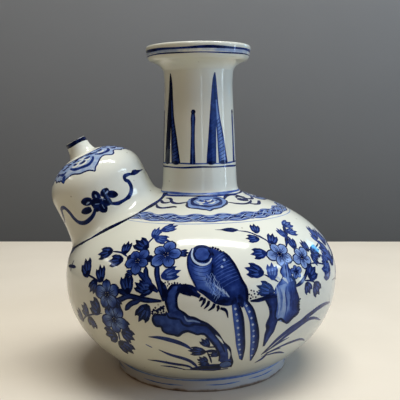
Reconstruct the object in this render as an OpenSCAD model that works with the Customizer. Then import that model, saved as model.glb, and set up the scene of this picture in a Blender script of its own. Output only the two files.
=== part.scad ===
// Kendi: a squat pouring vessel of glazed porcelain, thrown in sections and luted together.
// The pot's axis is +Z, its foot stands on z = 0, and its spout leans towards -X.

/* [Overall] */
// Height from the table to the lip
total_h = 200; // [185:1:230]

/* [Body] */
// Widest diameter of the body
belly_d = 170; // [156:1:190]
// Height where the lower half reaches its widest
belly_z = 57; // [48:1:64]
// Height of the upright band between the two halves
belly_band = 3.5; // [2:0.5:8]
// Rise of the shoulder's curve above the upright band
shoulder_rise = 50.5; // [46:0.5:54]
// Thickness of the body's wall
body_wall = 5; // [3.5:0.5:7]
// Thickness of the floor
floor_t = 6; // [4:0.5:9]

/* [Foot] */
// Outer diameter of the foot ring
foot_d = 108; // [96:1:120]
// Height of the foot ring
foot_h = 8; // [6:0.5:11]
// Thickness of the foot ring
foot_wall = 6; // [4:0.5:10]
// Bevel on both edges of the ring's foot
foot_bevel = 0.8; // [0.4:0.1:1.5]

/* [Neck] */
// Diameter on the shoulder where the rise to the neck starts
collar_d = 74; // [66:1:84]
// Height of that rise, up to the joint between the body and the neck
collar_h = 6; // [4:0.5:9]
// How far out from the neck the rise turns upright
collar_turn = 2.2; // [1:0.2:5]
// Diameter of the neck at that joint
neck_base_d = 48.6; // [46:0.2:50]
// Diameter of the neck above its flared foot
neck_low_d = 46.6; // [44:0.2:48]
// Height of the flared foot of the neck
neck_flare_h = 6; // [4:0.5:10]
// Diameter of the neck at its narrowest
neck_waist_d = 42.4; // [40:0.2:45]
// Distance from the lip down to the narrowest place
neck_waist_drop = 28; // [22:1:40]
// Bore of the neck and the mouth
mouth_bore_d = 33; // [28:0.5:35]

/* [Mouth] */
// Diameter over the lip
lip_d = 65.2; // [60:0.2:70]
// How far the band under the lip flares out on its way up to the lip
lip_flare = 1.4; // [0:0.1:2.4]
// Height of the mouth piece from its joint with the neck to the lip
mouth_h = 15; // [13:0.5:18]
// Diameter of the neck at the joint with the mouth piece
mouth_joint_d = 43.4; // [41:0.2:46]
// Height of the flaring band under the lip
lip_band_h = 6; // [4:0.5:7]
// Width of the lip's top
lip_w = 2.6; // [2:0.2:4]
// Rounding of the lip's outer edge
lip_round = 1.3; // [0.5:0.1:1.8]
// Rounding of the flange between its underside and the flaring band
flange_round = 2.6; // [1.5:0.1:4]
// How far the hollow under the flange swings out from the joint
flange_hollow = 1.3; // [0.5:0.1:3]
// Drop of the flange's underside from its outer corner to that hollow
flange_drop = 2.4; // [1:0.1:3]
// Depth of the dished top inside the lip
dish_depth = 2; // [1:0.5:4]
// Width of the slope from the lip down into the dish
dish_slope = 4; // [2:0.2:6]
// Rounding of the mouth's inner edge
mouth_round = 1.3; // [0.5:0.1:2]

/* [Spout] */
// Distance of the spout's axis from the pot's axis, where it meets the shoulder
spout_x = 55.7; // [54:0.1:57]
// Lean of the spout's axis from upright
spout_lean = 26.5; // [23:0.5:28]
// Diameter of the bulb
bulb_d = 60.6; // [56:0.2:62]
// Length of the bulb's straight side above the shoulder
bulb_side_h = 20; // [14:0.5:26]
// Rise of the bulb's dome
dome_rise = 21; // [17:0.5:25]
// Spread of the bulb's foot where it is luted to the shoulder
bulb_flare = 2.4; // [0.5:0.1:3]
// Height of the flared foot of the bulb
bulb_flare_h = 18; // [12:1:22]
// Thickness of the bulb's wall
bulb_wall = 4; // [3:0.5:5.5]
// Diameter of the hole pierced through the shoulder under the bulb
pierce_d = 40; // [30:1:46]

/* [Nozzle] */
// Diameter of the nozzle where it stands on the dome
nozzle_base_d = 17.6; // [15:0.2:20]
// Diameter of the nozzle at its tip
nozzle_tip_d = 13.4; // [12:0.2:15]
// Height of the nozzle
nozzle_h = 9.8; // [7:0.2:13]
// Height at which the nozzle's sides turn upright
nozzle_waist_h = 3.3; // [2:0.1:6]
// Bore of the nozzle
pour_bore_d = 7; // [5:0.2:8]
// Rounding of the nozzle's tip
nozzle_round = 0.9; // [0.4:0.1:1.5]

/* [Hidden] */

$fn = 96;

// Straight steps along each curved stretch of an outline
curve_steps = 12;
short_curve_steps = 6;

belly_r = belly_d / 2;
foot_r = foot_d / 2;
mouth_bore_r = mouth_bore_d / 2;
bulb_r = bulb_d / 2;
pour_bore_r = pour_bore_d / 2;

// The body's two halves are luted in the middle of the upright band
seam_z = belly_z + belly_band / 2;
shoulder_z = belly_z + belly_band;

// The lower half's ellipse is as deep as it must be to pass through the foot ring's top edge
belly_drop = (belly_z - foot_h) / sqrt(1 - pow(foot_r / belly_r, 2));
floor_z = foot_h + floor_t;

// The rise to the neck leaves the shoulder's ellipse at the collar
collar_r = collar_d / 2;
collar_z = shoulder_z + dome_height(belly_r, shoulder_rise, collar_r);
neck_z = collar_z + collar_h;
waist_z = total_h - neck_waist_drop;
mouth_z = total_h - mouth_h;

// The spout's axis starts on the shoulder, and the dome is cut flat where the nozzle stands on it
spout_seat_z = shoulder_z + dome_height(belly_r, shoulder_rise, spout_x);
nozzle_seat_h = bulb_side_h + dome_height(bulb_r, dome_rise, nozzle_base_d / 2);

// How far the bulb's wall is carried down into the body before the body's form is taken off it
bulb_sink = shoulder_rise;
// The hole is carried past both faces of the curved wall
pierce_h = 2 * body_wall + pierce_d / 2;

// Height of an ellipse above its middle at a radius
function dome_height(a, b, r) = b * sqrt(1 - pow(r / a, 2));
// Steepness of that ellipse at a radius
function dome_slope(a, b, r) = b * r / (a * a * sqrt(1 - pow(r / a, 2)));

// Points on an ellipse about height mid, from height from_z to height to_z
function ellipse_arc(a, b, mid, from_z, to_z) =
    let (t0 = asin((from_z - mid) / b), t1 = asin((to_z - mid) / b))
    [for (i = [0 : curve_steps])
        let (t = t0 + (t1 - t0) * i / curve_steps)
        [a * cos(t), mid + b * sin(t)]];

// Points on a curve that leaves p towards c and comes from c into q
function bend(p, c, q) =
    [for (i = [0 : short_curve_steps])
        let (t = i / short_curve_steps)
        pow(1 - t, 2) * p + 2 * t * (1 - t) * c + pow(t, 2) * q];

// Point at a distance from p on the line to q
function toward(p, q, distance) = p + distance * (q - p) / norm(q - p);

// Outline of the shoulder from the upright band to the neck joint: an ellipse, then a hollow rise
function shoulder_outline() =
    let (
        turn_r = neck_base_d / 2 + collar_turn,
        turn_z = collar_z + dome_slope(belly_r, shoulder_rise, collar_r) * (collar_r - turn_r)
    )
    concat(
        ellipse_arc(belly_r, shoulder_rise, shoulder_z, shoulder_z, collar_z),
        bend([collar_r, collar_z], [turn_r, turn_z], [neck_base_d / 2, neck_z])
    );

// The closed form of the body with nothing hollowed out of it
module body_form() {
    rotate_extrude()
        polygon(concat(
            [[0, foot_h]],
            ellipse_arc(belly_r, belly_drop, belly_z, foot_h, belly_z),
            shoulder_outline(),
            [[0, neck_z]]
        ));
}

// Stands its children on the shoulder, with +Z along the spout
module on_spout_axis() {
    translate([-spout_x, 0, spout_seat_z])
        rotate([0, -spout_lean, 0])
            children();
}

module foot_ring() {
    inner_r = foot_r - foot_wall;
    color("antiquewhite")
        rotate_extrude()
            polygon([
                [inner_r + foot_bevel, 0],
                [foot_r - foot_bevel, 0],
                [foot_r, foot_bevel],
                [foot_r, foot_h],
                [inner_r, foot_h],
                [inner_r, foot_bevel]
            ]);
}

module lower_body() {
    color("aliceblue")
        rotate_extrude()
            polygon(concat(
                [[0, foot_h]],
                ellipse_arc(belly_r, belly_drop, belly_z, foot_h, belly_z),
                [[belly_r, seam_z], [belly_r - body_wall, seam_z]],
                ellipse_arc(belly_r - body_wall, belly_drop - body_wall, belly_z, belly_z, floor_z),
                [[0, floor_z]]
            ));
}

module upper_body() {
    inner_a = belly_r - body_wall;
    inner_b = shoulder_rise - body_wall;
    hole_z = shoulder_z + dome_height(inner_a, inner_b, mouth_bore_r);
    color("aliceblue")
        difference() {
            rotate_extrude()
                polygon(concat(
                    [[belly_r, seam_z]],
                    shoulder_outline(),
                    [[mouth_bore_r, neck_z]],
                    ellipse_arc(inner_a, inner_b, shoulder_z, hole_z, shoulder_z),
                    [[inner_a, seam_z]]
                ));
            on_spout_axis()
                cylinder(d = pierce_d, h = pierce_h, center = true);
        }
}

module neck() {
    waist = [neck_waist_d / 2, waist_z];
    low = [neck_low_d / 2, neck_z + neck_flare_h];
    color("aliceblue")
        rotate_extrude()
            polygon(concat(
                [[mouth_bore_r, neck_z]],
                bend([neck_base_d / 2, neck_z], [low[0], neck_z + neck_flare_h / 2], low),
                bend(waist, [waist[0], (waist_z + mouth_z) / 2], [mouth_joint_d / 2, mouth_z]),
                [[mouth_bore_r, mouth_z]]
            ));
}

module mouth_rim() {
    joint = [mouth_joint_d / 2, mouth_z];
    lip_edge = [lip_d / 2, total_h];
    corner = lip_edge - [lip_flare, lip_band_h + flange_round];
    hollow = [joint[0] + flange_hollow, corner[1] - flange_drop];
    under = toward(corner, hollow, flange_round);
    dish_r = lip_edge[0] - lip_w;
    dish_z = total_h - dish_depth;
    color("aliceblue")
        rotate_extrude()
            polygon(concat(
                [[mouth_bore_r, mouth_z]],
                bend(joint, hollow, under),
                bend(under, corner, toward(corner, lip_edge, flange_round)),
                bend(toward(lip_edge, corner, lip_round), lip_edge, lip_edge - [lip_round, 0]),
                bend([dish_r, total_h], [dish_r - dish_slope / 2, dish_z], [dish_r - dish_slope, dish_z]),
                bend([mouth_bore_r + mouth_round, dish_z], [mouth_bore_r, dish_z],
                     [mouth_bore_r, dish_z - mouth_round])
            ));
}

module spout_bulb() {
    inner_r = bulb_r - bulb_wall;
    inner_rise = dome_rise - bulb_wall;
    spread_r = bulb_r + bulb_flare;
    flare_z = bulb_flare_h / 2;
    hole_z = bulb_side_h + dome_height(inner_r, inner_rise, pour_bore_r);
    color("aliceblue")
        difference() {
            on_spout_axis()
                rotate_extrude()
                    polygon(concat(
                        [[inner_r, -bulb_sink], [spread_r, -bulb_sink]],
                        bend([spread_r, -flare_z], [bulb_r, 0], [bulb_r, flare_z]),
                        ellipse_arc(bulb_r, dome_rise, bulb_side_h, bulb_side_h, nozzle_seat_h),
                        [[pour_bore_r, nozzle_seat_h]],
                        ellipse_arc(inner_r, inner_rise, bulb_side_h, hole_z, bulb_side_h)
                    ));
            body_form();
        }
}

module spout_nozzle() {
    base_r = nozzle_base_d / 2;
    tip_r = nozzle_tip_d / 2;
    round_z = nozzle_h - nozzle_round;
    color("lightsteelblue")
        on_spout_axis()
            translate([0, 0, nozzle_seat_h])
                rotate_extrude()
                    polygon(concat(
                        [[pour_bore_r, 0]],
                        bend([base_r, 0], [tip_r, nozzle_waist_h], [tip_r, round_z]),
                        bend([tip_r, round_z], [tip_r, nozzle_h], [tip_r - nozzle_round, nozzle_h]),
                        [[pour_bore_r, nozzle_h]]
                    ));
}

foot_ring();
lower_body();
upper_body();
neck();
mouth_rim();
spout_bulb();
spout_nozzle();
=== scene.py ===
import bpy
import numpy as np
from mathutils import Matrix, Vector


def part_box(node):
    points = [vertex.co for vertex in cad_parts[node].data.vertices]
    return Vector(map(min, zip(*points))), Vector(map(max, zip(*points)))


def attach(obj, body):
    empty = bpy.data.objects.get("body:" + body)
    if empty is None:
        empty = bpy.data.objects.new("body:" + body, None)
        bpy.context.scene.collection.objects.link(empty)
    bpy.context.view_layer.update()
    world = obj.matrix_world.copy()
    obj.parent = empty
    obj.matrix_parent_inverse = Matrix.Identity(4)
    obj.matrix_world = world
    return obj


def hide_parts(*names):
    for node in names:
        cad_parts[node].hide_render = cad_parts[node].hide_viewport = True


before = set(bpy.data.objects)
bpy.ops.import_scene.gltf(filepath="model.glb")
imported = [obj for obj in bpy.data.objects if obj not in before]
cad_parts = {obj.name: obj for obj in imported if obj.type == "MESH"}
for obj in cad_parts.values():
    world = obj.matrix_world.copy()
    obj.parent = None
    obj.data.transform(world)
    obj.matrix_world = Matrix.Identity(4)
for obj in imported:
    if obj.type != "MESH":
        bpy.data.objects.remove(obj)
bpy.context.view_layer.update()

MM = 0.001


def high(node, axis):
    """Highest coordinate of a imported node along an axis, in millimetres."""
    return round(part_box(node)[1][axis] / MM, 2)


# Sizes of the vessel, in millimetres: joints and outer sizes come from the frame. The mouth's edges are
# rounder than in the solids, the fillet at the spout's foot is added, and the rest is as in them.
FOOT_R = high("foot_ring", 0)
FOOT_H = high("foot_ring", 2)
BELLY_R = high("lower_body", 0)
SEAM_Z = high("lower_body", 2)
NECK_Z = high("upper_body", 2)
MOUTH_Z = high("neck", 2)
TOP_Z = high("mouth_rim", 2)
LIP_R = 32.6
LIP_FLARE = 1.4
FOOT_WALL = 6
FOOT_BEVEL = 0.8
BELLY_BAND = 3.5
BELLY_Z = SEAM_Z - BELLY_BAND / 2
SHOULDER_Z = SEAM_Z + BELLY_BAND / 2
SHOULDER_RISE = 50.5
WALL = 5
FLOOR_T = 6
COLLAR_R = 37
NECK_BASE_R = 24.3
NECK_LOW_R = 23.3
NECK_FLARE_H = 6
WAIST_R = 21.2
WAIST_Z = 172
MOUTH_JOINT_R = 21.7
BORE_R = 16.5
FLANGE_Z = 191.4
FLANGE_ROUND = 2.6
FLANGE_DROP = 2.4
FLANGE_HOLLOW = 1.3
LIP_ROUND = 2.1
LIP_W = 2.6
DISH_DEPTH = 2
DISH_SLOPE = 4
SPOUT_X = 55.7
SPOUT_LEAN = np.radians(26.5)
BULB_R = 30.3
BULB_FLARE = 2.4
BULB_FLARE_H = 18
BULB_SIDE_H = 20
DOME_RISE = 21
BULB_WALL = 4
FILLET = 3.2
FILLET_FLARE = 8.5
FLARE_RISE = 0.5
FLARE_TURNS = (34, 146)
FILLET_SINK = 0.12
NOZZLE_R = 8.8
NOZZLE_TIP_R = 6.7
NOZZLE_WAIST_H = 3.3
NOZZLE_H = 9.8
NOZZLE_ROUND = 0.9
POUR_R = 3.5
BELLY_DROP = (BELLY_Z - FOOT_H) / np.sqrt(1 - (FOOT_R / BELLY_R) ** 2)
COLLAR_Z = SHOULDER_Z + SHOULDER_RISE * np.sqrt(1 - (COLLAR_R / BELLY_R) ** 2)
SPOUT_SEAT_Z = SHOULDER_Z + SHOULDER_RISE * np.sqrt(1 - (SPOUT_X / BELLY_R) ** 2)
NOZZLE_SEAT = BULB_SIDE_H + DOME_RISE * np.sqrt(1 - (NOZZLE_R / BULB_R) ** 2)

# Fineness of the meshes: steps round a form, and the distance under which points are one
TURNS = 288
NOZZLE_TURNS = 120
CLOSE = 1e-6


# Outline curves: each gives points of (radius, height)
def straight(start, stop, count=2):
    """Points on the line from start to stop."""
    return np.linspace(start, stop, count)


def arc(height, across, rise, start, stop, count=64):
    """Part of an ellipse: the radius is across times the cosine, and height adds rise times the sine."""
    a = np.linspace(start, stop, count)
    return np.stack([across * np.cos(a), height + rise * np.sin(a)], -1)


def bend(start, control, stop, count=12):
    """Quadratic curve from start to stop, drawn towards control."""
    start, control, stop = (np.array(p, float) for p in (start, control, stop))
    t = np.linspace(0, 1, count)[:, None]
    return (1 - t) ** 2 * start + 2 * t * (1 - t) * control + t**2 * stop


def sweep(start, leaving, stop, reaching, count=24):
    """Quadratic curve that leaves start and reaches stop along two directions, which meet at its control."""
    start, leaving, stop, reaching = (np.array(p, float) for p in (start, leaving, stop, reaching))
    share = np.linalg.solve(np.stack([leaving, -reaching], -1), stop - start)[0]
    return bend(start, start + share * leaving, stop, count)


def toward(start, aim, distance):
    """The point at a distance from start on the line to the aim."""
    start, aim = np.array(start, float), np.array(aim, float)
    return start + distance * (aim - start) / np.linalg.norm(aim - start)


# Directions of the outline, as (radius, height), where two thrown sections meet
neck_joint = (NECK_BASE_R, NECK_Z)
neck_joint_way = (-0.6, 1)
neck_taper = (WAIST_R - NECK_LOW_R, WAIST_Z - NECK_Z - NECK_FLARE_H)
mouth_joint = (MOUTH_JOINT_R, MOUTH_Z)
mouth_joint_way = (0.14, 1)
collar = (COLLAR_R, COLLAR_Z)
collar_way = (-1, SHOULDER_RISE * COLLAR_R / BELLY_R**2 / np.sqrt(1 - (COLLAR_R / BELLY_R) ** 2))

lower_outside = [
    arc(BELLY_Z, BELLY_R, BELLY_DROP, np.arcsin((FOOT_H - BELLY_Z) / BELLY_DROP), 0),
    straight((BELLY_R, BELLY_Z), (BELLY_R, SEAM_Z)),
]
upper_outside = [
    straight((BELLY_R, SEAM_Z), (BELLY_R, SHOULDER_Z)),
    arc(SHOULDER_Z, BELLY_R, SHOULDER_RISE, 0, np.arcsin((COLLAR_Z - SHOULDER_Z) / SHOULDER_RISE)),
    sweep(collar, collar_way, neck_joint, neck_joint_way),
]
neck_outside = [
    sweep(neck_joint, neck_joint_way, (NECK_LOW_R, NECK_Z + NECK_FLARE_H), neck_taper),
    straight((NECK_LOW_R, NECK_Z + NECK_FLARE_H), (WAIST_R, WAIST_Z), 40),
    sweep((WAIST_R, WAIST_Z), neck_taper, mouth_joint, mouth_joint_way),
]
lip_edge = (LIP_R, TOP_Z)
flange_corner = (LIP_R - LIP_FLARE, FLANGE_Z)
flange_hollow = (MOUTH_JOINT_R + FLANGE_HOLLOW, FLANGE_Z - FLANGE_DROP)
flange_under = toward(flange_corner, flange_hollow, FLANGE_ROUND)
band_low = toward(flange_corner, lip_edge, FLANGE_ROUND)
band_top = toward(lip_edge, flange_corner, LIP_ROUND)
lip_out = (LIP_R - LIP_ROUND, TOP_Z)
rim_outside = [
    bend(mouth_joint, flange_hollow, flange_under, 24),
    bend(flange_under, flange_corner, band_low),
    straight(band_low, band_top, 6),
    bend(band_top, lip_edge, lip_out),
]
bulb_outside = [
    bend(
        (BULB_R + BULB_FLARE, -BULB_FLARE_H / 2),
        (BULB_R, 0),
        (BULB_R, BULB_FLARE_H / 2),
        24,
    ),
    straight((BULB_R, BULB_FLARE_H / 2), (BULB_R, BULB_SIDE_H), 12),
    arc(BULB_SIDE_H, BULB_R, DOME_RISE, 0, np.arccos(NOZZLE_R / BULB_R)),
]
nozzle_shoulder = (NOZZLE_TIP_R, NOZZLE_H - NOZZLE_ROUND)
nozzle_lip = (NOZZLE_TIP_R - NOZZLE_ROUND, NOZZLE_H)
nozzle_outside = [
    bend((NOZZLE_R, 0), (NOZZLE_TIP_R, NOZZLE_WAIST_H), nozzle_shoulder, 20),
    bend(nozzle_shoulder, (NOZZLE_TIP_R, NOZZLE_H), nozzle_lip),
]


class Axis:
    """A turning axis: its origin in millimetres, east for angle 90 and up along the axis. Angle 0 faces the
    viewer."""

    def __init__(self, origin, east, up):
        self.origin = np.array(origin, float)
        self.east = np.array(east, float)
        self.north = np.array((0.0, 1.0, 0.0))
        self.up = np.array(up, float)

    def turned(self, radius, angle, height):
        """Vector of a radius turned by an angle in radians, raised by a height along the axis."""
        away = np.sin(angle)[..., None] * self.east - np.cos(angle)[..., None] * self.north
        return np.asarray(radius)[..., None] * away + np.asarray(height)[..., None] * self.up


pot_axis = Axis((0, 0, 0), (1, 0, 0), (0, 0, 1))
lean_out, lean_up = np.sin(SPOUT_LEAN), np.cos(SPOUT_LEAN)
spout_axis = Axis((-SPOUT_X, 0, SPOUT_SEAT_Z), (lean_up, 0, lean_out), (-lean_out, 0, lean_up))
nozzle_axis = Axis(spout_axis.origin + NOZZLE_SEAT * spout_axis.up, spout_axis.east, spout_axis.up)


# Meshes
def mesh_piece(name, points, faces, material):
    """A smooth piece of the object from points in millimetres and faces, on the root body."""
    mesh = bpy.data.meshes.new(name)
    mesh.from_pydata((points * MM).tolist(), [], faces)
    mesh.polygons.foreach_set("use_smooth", np.ones(len(mesh.polygons), bool))
    mesh.materials.append(material)
    piece = bpy.data.objects.new(name, mesh)
    bpy.context.scene.collection.objects.link(piece)
    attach(piece, "root")
    return piece


def turned_runs(axis, runs, turns=TURNS):
    """Each run of (radius, height) points turned right round an axis, as rows of points in space."""
    angle = np.arange(turns) * 2 * np.pi / turns
    return [axis.origin + axis.turned(run[:, :1], angle[None], run[:, 1:]) for run in runs]


def grid_faces(rows):
    """Quads between neighbouring rows of numbers, where each row closes on itself."""
    beside = np.roll(rows, -1, axis=1)
    return np.stack([rows[:-1], beside[:-1], beside[1:], rows[1:]], -1).reshape(-1, 4)


def shell(name, runs, material, node):
    """A closed shell from runs of rows of points that follow each other round its section. A corner's normal
    is the cross product of the surface's two directions within its own run, so a run is smooth and its ends
    are sharp."""
    closed = np.allclose(runs[0][0], runs[-1][-1])
    points = np.concatenate([run[:-1] for run in runs] + ([] if closed else [runs[-1][-1:]]))
    count, turns = points.shape[:2]
    rows = np.arange(count * turns).reshape(count, turns)
    pole = np.ptp(points, axis=1).max(axis=1) < CLOSE
    rows[pole] = rows[pole][:, :1]
    quads, normals, first = [], [], 0
    for run in runs:
        along = np.gradient(run, axis=0, edge_order=min(2, len(run) - 1))
        around = np.roll(run, -1, axis=1) - np.roll(run, 1, axis=1)
        normal = np.cross(around, along)
        normal /= np.maximum(np.linalg.norm(normal, axis=-1, keepdims=True), 1e-9)
        flat = np.ptp(run, axis=1).max(axis=1) < CLOSE
        normal[flat] = normal[1 if flat[0] else -2].mean(axis=0)
        span = np.arange(first, first + len(run)) % count
        first += len(run) - 1
        corner = grid_faces(np.arange(normal[..., 0].size).reshape(normal.shape[:2]))
        quads.append(grid_faces(rows[span]))
        normals.append(normal.reshape(-1, 3)[corner])
    quads, normals = np.concatenate(quads), np.concatenate(normals)
    used, renumbered = np.unique(quads, return_inverse=True)
    quads = renumbered.reshape(quads.shape)
    keep = quads != np.roll(quads, 1, axis=1)
    faces = [quad[kept].tolist() for quad, kept in zip(quads, keep)]
    piece = mesh_piece(name, points.reshape(-1, 3)[used], faces, material)
    piece.data.normals_split_custom_set(normals[keep].tolist())
    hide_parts(node)
    return piece


# Materials
def new_material(name):
    """An empty node material with its Principled shader and a helper that adds and links nodes."""
    material = bpy.data.materials.new(name)
    material.use_nodes = True
    tree = material.node_tree
    shader = next(node for node in tree.nodes if node.type == "BSDF_PRINCIPLED")

    def add(kind, links=(), **values):
        node = tree.nodes.new(kind)
        for key, value in values.items():
            setattr(node, key, value)
        for socket, source in links:
            if isinstance(source, (int, float, tuple)):
                node.inputs[socket].default_value = source
            else:
                tree.links.new(source, node.inputs[socket])
        return node

    def feed(socket, source):
        tree.links.new(source, shader.inputs[socket])

    return material, shader, add, feed


def ramp(node, stops):
    """Sets a colour ramp's stops from (position, linear colour) pairs."""
    elements = node.color_ramp.elements
    while len(elements) < len(stops):
        elements.new(1.0)
    for element, (position, colour) in zip(elements, stops):
        element.position = position
        element.color = (*colour, 1.0)


def glaze_surface(shader, add, feed, coords, tint=(1.0, 1.0, 1.0)):
    """The gloss of the clear glaze: slow waves and fine pin marks. Cobalt below may tint it."""
    wave = add("ShaderNodeTexNoise", [("Vector", coords), ("Scale", 55.0), ("Detail", 1.0)])
    pins = add("ShaderNodeTexNoise", [("Vector", coords), ("Scale", 900.0), ("Detail", 2.0)])
    low_bump = add(
        "ShaderNodeBump",
        [("Height", wave.outputs["Fac"]), ("Strength", 0.25), ("Distance", 0.0006)],
    )
    bump = add(
        "ShaderNodeBump",
        [
            ("Height", pins.outputs["Fac"]),
            ("Strength", 0.06),
            ("Distance", 0.0002),
            ("Normal", low_bump.outputs["Normal"]),
        ],
    )
    feed("Normal", bump.outputs["Normal"])
    shader.inputs["Roughness"].default_value = 0.11
    shader.inputs["IOR"].default_value = 1.42
    shader.inputs["Specular Tint"].default_value = (*tint, 1.0)


def glazed_porcelain():
    """White porcelain under a clear glaze: cloudy tint of cool and warm white, and small grey specks."""
    material, shader, add, feed = new_material("glazed_porcelain")
    coords = add("ShaderNodeTexCoord").outputs["Object"]
    cloud = add("ShaderNodeTexNoise", [("Vector", coords), ("Scale", 22.0), ("Detail", 3.0)])
    tint = add("ShaderNodeValToRGB", [("Fac", cloud.outputs["Fac"])])
    ramp(tint, [(0.3, (0.69, 0.72, 0.64)), (0.7, (0.75, 0.76, 0.67))])
    speck = add("ShaderNodeTexVoronoi", [("Vector", coords), ("Scale", 90.0)])
    mark = add("ShaderNodeValToRGB", [("Fac", speck.outputs["Distance"])])
    ramp(mark, [(0.035, (0.55, 0.52, 0.48)), (0.06, (1.0, 1.0, 1.0))])
    mixed = add(
        "ShaderNodeMix",
        [("Factor", 1.0), ("A", tint.outputs["Color"]), ("B", mark.outputs["Color"])],
        data_type="RGBA",
        blend_type="MULTIPLY",
    )
    feed("Base Color", mixed.outputs["Result"])
    glaze_surface(shader, add, feed, coords)
    return material


def foot_porcelain():
    """Glazed side that ends above a bare, brownish and rough standing edge, with an uneven line between. The
    glazed side is a darker grey than the body's glaze, as painted shade under the belly.
    """
    material, shader, add, feed = new_material("foot_porcelain")
    coords = add("ShaderNodeTexCoord").outputs["Object"]
    height = add("ShaderNodeSeparateXYZ", [("Vector", coords)]).outputs["Z"]
    rough = add("ShaderNodeTexNoise", [("Vector", coords), ("Scale", 160.0), ("Detail", 4.0)])
    edge = add(
        "ShaderNodeMath",
        [(0, rough.outputs["Fac"]), (1, 0.0022), (2, height)],
        operation="MULTIPLY_ADD",
    )
    glazed = add(
        "ShaderNodeMapRange",
        [("Value", edge.outputs[0]), ("From Min", 0.0022), ("From Max", 0.0032)],
    )
    bare = add("ShaderNodeValToRGB", [("Fac", rough.outputs["Fac"])])
    ramp(bare, [(0.3, (0.16, 0.10, 0.06)), (0.7, (0.42, 0.33, 0.24))])
    # The glazed grey (0.5, 0.5, 0.48) is darker than the body's glaze: painted shade under the belly
    mixed = add(
        "ShaderNodeMix",
        [("Factor", glazed.outputs["Result"]), ("A", bare.outputs["Color"]), ("B", (0.5, 0.5, 0.48, 1.0))],
        data_type="RGBA",
    )
    feed("Base Color", mixed.outputs["Result"])
    glaze_surface(shader, add, feed, coords)
    gloss = add(
        "ShaderNodeMapRange", [("Value", glazed.outputs["Result"]), ("To Min", 0.8), ("To Max", 0.12)]
    )
    feed("Roughness", gloss.outputs["Result"])
    return material


def cobalt_painting():
    """Cobalt under the glaze: the ink attribute, made uneven by pooling, goes from pale to near black."""
    material, shader, add, feed = new_material("cobalt_painting")
    coords = add("ShaderNodeTexCoord").outputs["Object"]
    ink = add("ShaderNodeAttribute", attribute_name="ink").outputs["Fac"]
    pool = add("ShaderNodeTexNoise", [("Vector", coords), ("Scale", 300.0), ("Detail", 4.0)])
    uneven = add("ShaderNodeMapRange", [("Value", pool.outputs["Fac"]), ("To Min", -0.2), ("To Max", 0.2)])
    depth = add("ShaderNodeMath", [(0, ink), (1, uneven.outputs["Result"])], operation="ADD")
    colour = add("ShaderNodeValToRGB", [("Fac", depth.outputs[0])])
    ramp(
        colour,
        [
            (0.0, (0.72, 0.74, 0.66)),
            (0.14, (0.40, 0.49, 0.63)),
            (0.32, (0.18, 0.28, 0.54)),
            (0.55, (0.045, 0.095, 0.34)),
            (0.76, (0.010, 0.026, 0.15)),
            (0.95, (0.002, 0.004, 0.024)),
        ],
    )
    feed("Base Color", colour.outputs["Color"])
    glaze_surface(shader, add, feed, coords, (0.3, 0.42, 0.8))
    return material


glaze = glazed_porcelain()
foot_clay = foot_porcelain()
cobalt = cobalt_painting()


# Glazed shells of the vessel
def pot(name, runs, material=None):
    """A section of the pot turned about the upright axis, in place of the node of the same name."""
    return shell(name + "_shell", turned_runs(pot_axis, runs), material or glaze, name)


foot_in = FOOT_R - FOOT_WALL
pot(
    "foot_ring",
    [
        straight((FOOT_R - FOOT_BEVEL, 0), (FOOT_R, FOOT_BEVEL)),
        straight((FOOT_R, FOOT_BEVEL), (FOOT_R, FOOT_H), 6),
        straight((FOOT_R, FOOT_H), (foot_in, FOOT_H)),
        straight((foot_in, FOOT_H), (foot_in, FOOT_BEVEL), 6),
        straight((foot_in, FOOT_BEVEL), (foot_in + FOOT_BEVEL, 0)),
        straight((foot_in + FOOT_BEVEL, 0), (FOOT_R - FOOT_BEVEL, 0)),
    ],
    foot_clay,
)
floor_z = FOOT_H + FLOOR_T
inner_drop = BELLY_DROP - WALL
floor_turn = np.arcsin((floor_z - BELLY_Z) / inner_drop)
floor_edge = ((BELLY_R - WALL) * np.cos(floor_turn), floor_z)
pot(
    "lower_body",
    [
        straight((0, FOOT_H), (FOOT_R, FOOT_H), 12),
        *lower_outside,
        straight((BELLY_R, SEAM_Z), (BELLY_R - WALL, SEAM_Z)),
        straight((BELLY_R - WALL, SEAM_Z), (BELLY_R - WALL, BELLY_Z)),
        arc(BELLY_Z, BELLY_R - WALL, inner_drop, 0, floor_turn),
        straight(floor_edge, (0, floor_z), 12),
    ],
)
inner_rise = SHOULDER_RISE - WALL
bore_turn = np.arccos(BORE_R / (BELLY_R - WALL))
pot(
    "upper_body",
    [
        *upper_outside,
        straight(neck_joint, (BORE_R, NECK_Z)),
        straight((BORE_R, NECK_Z), (BORE_R, SHOULDER_Z + inner_rise * np.sin(bore_turn))),
        arc(SHOULDER_Z, BELLY_R - WALL, inner_rise, bore_turn, 0),
        straight((BELLY_R - WALL, SHOULDER_Z), (BELLY_R - WALL, SEAM_Z)),
        straight((BELLY_R - WALL, SEAM_Z), (BELLY_R, SEAM_Z)),
    ],
)
pot(
    "neck",
    [
        *neck_outside,
        straight(mouth_joint, (BORE_R, MOUTH_Z)),
        straight((BORE_R, MOUTH_Z), (BORE_R, NECK_Z), 24),
        straight((BORE_R, NECK_Z), neck_joint),
    ],
)
lip_in = (LIP_R - LIP_W, TOP_Z)
dish_mid = (LIP_R - LIP_W - DISH_SLOPE / 2, TOP_Z - DISH_DEPTH / 2)
dish_foot = (LIP_R - LIP_W - DISH_SLOPE, TOP_Z - DISH_DEPTH)
bore_edge = (BORE_R + LIP_ROUND, TOP_Z - DISH_DEPTH)
bore_top = (BORE_R, TOP_Z - DISH_DEPTH - LIP_ROUND)
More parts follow.
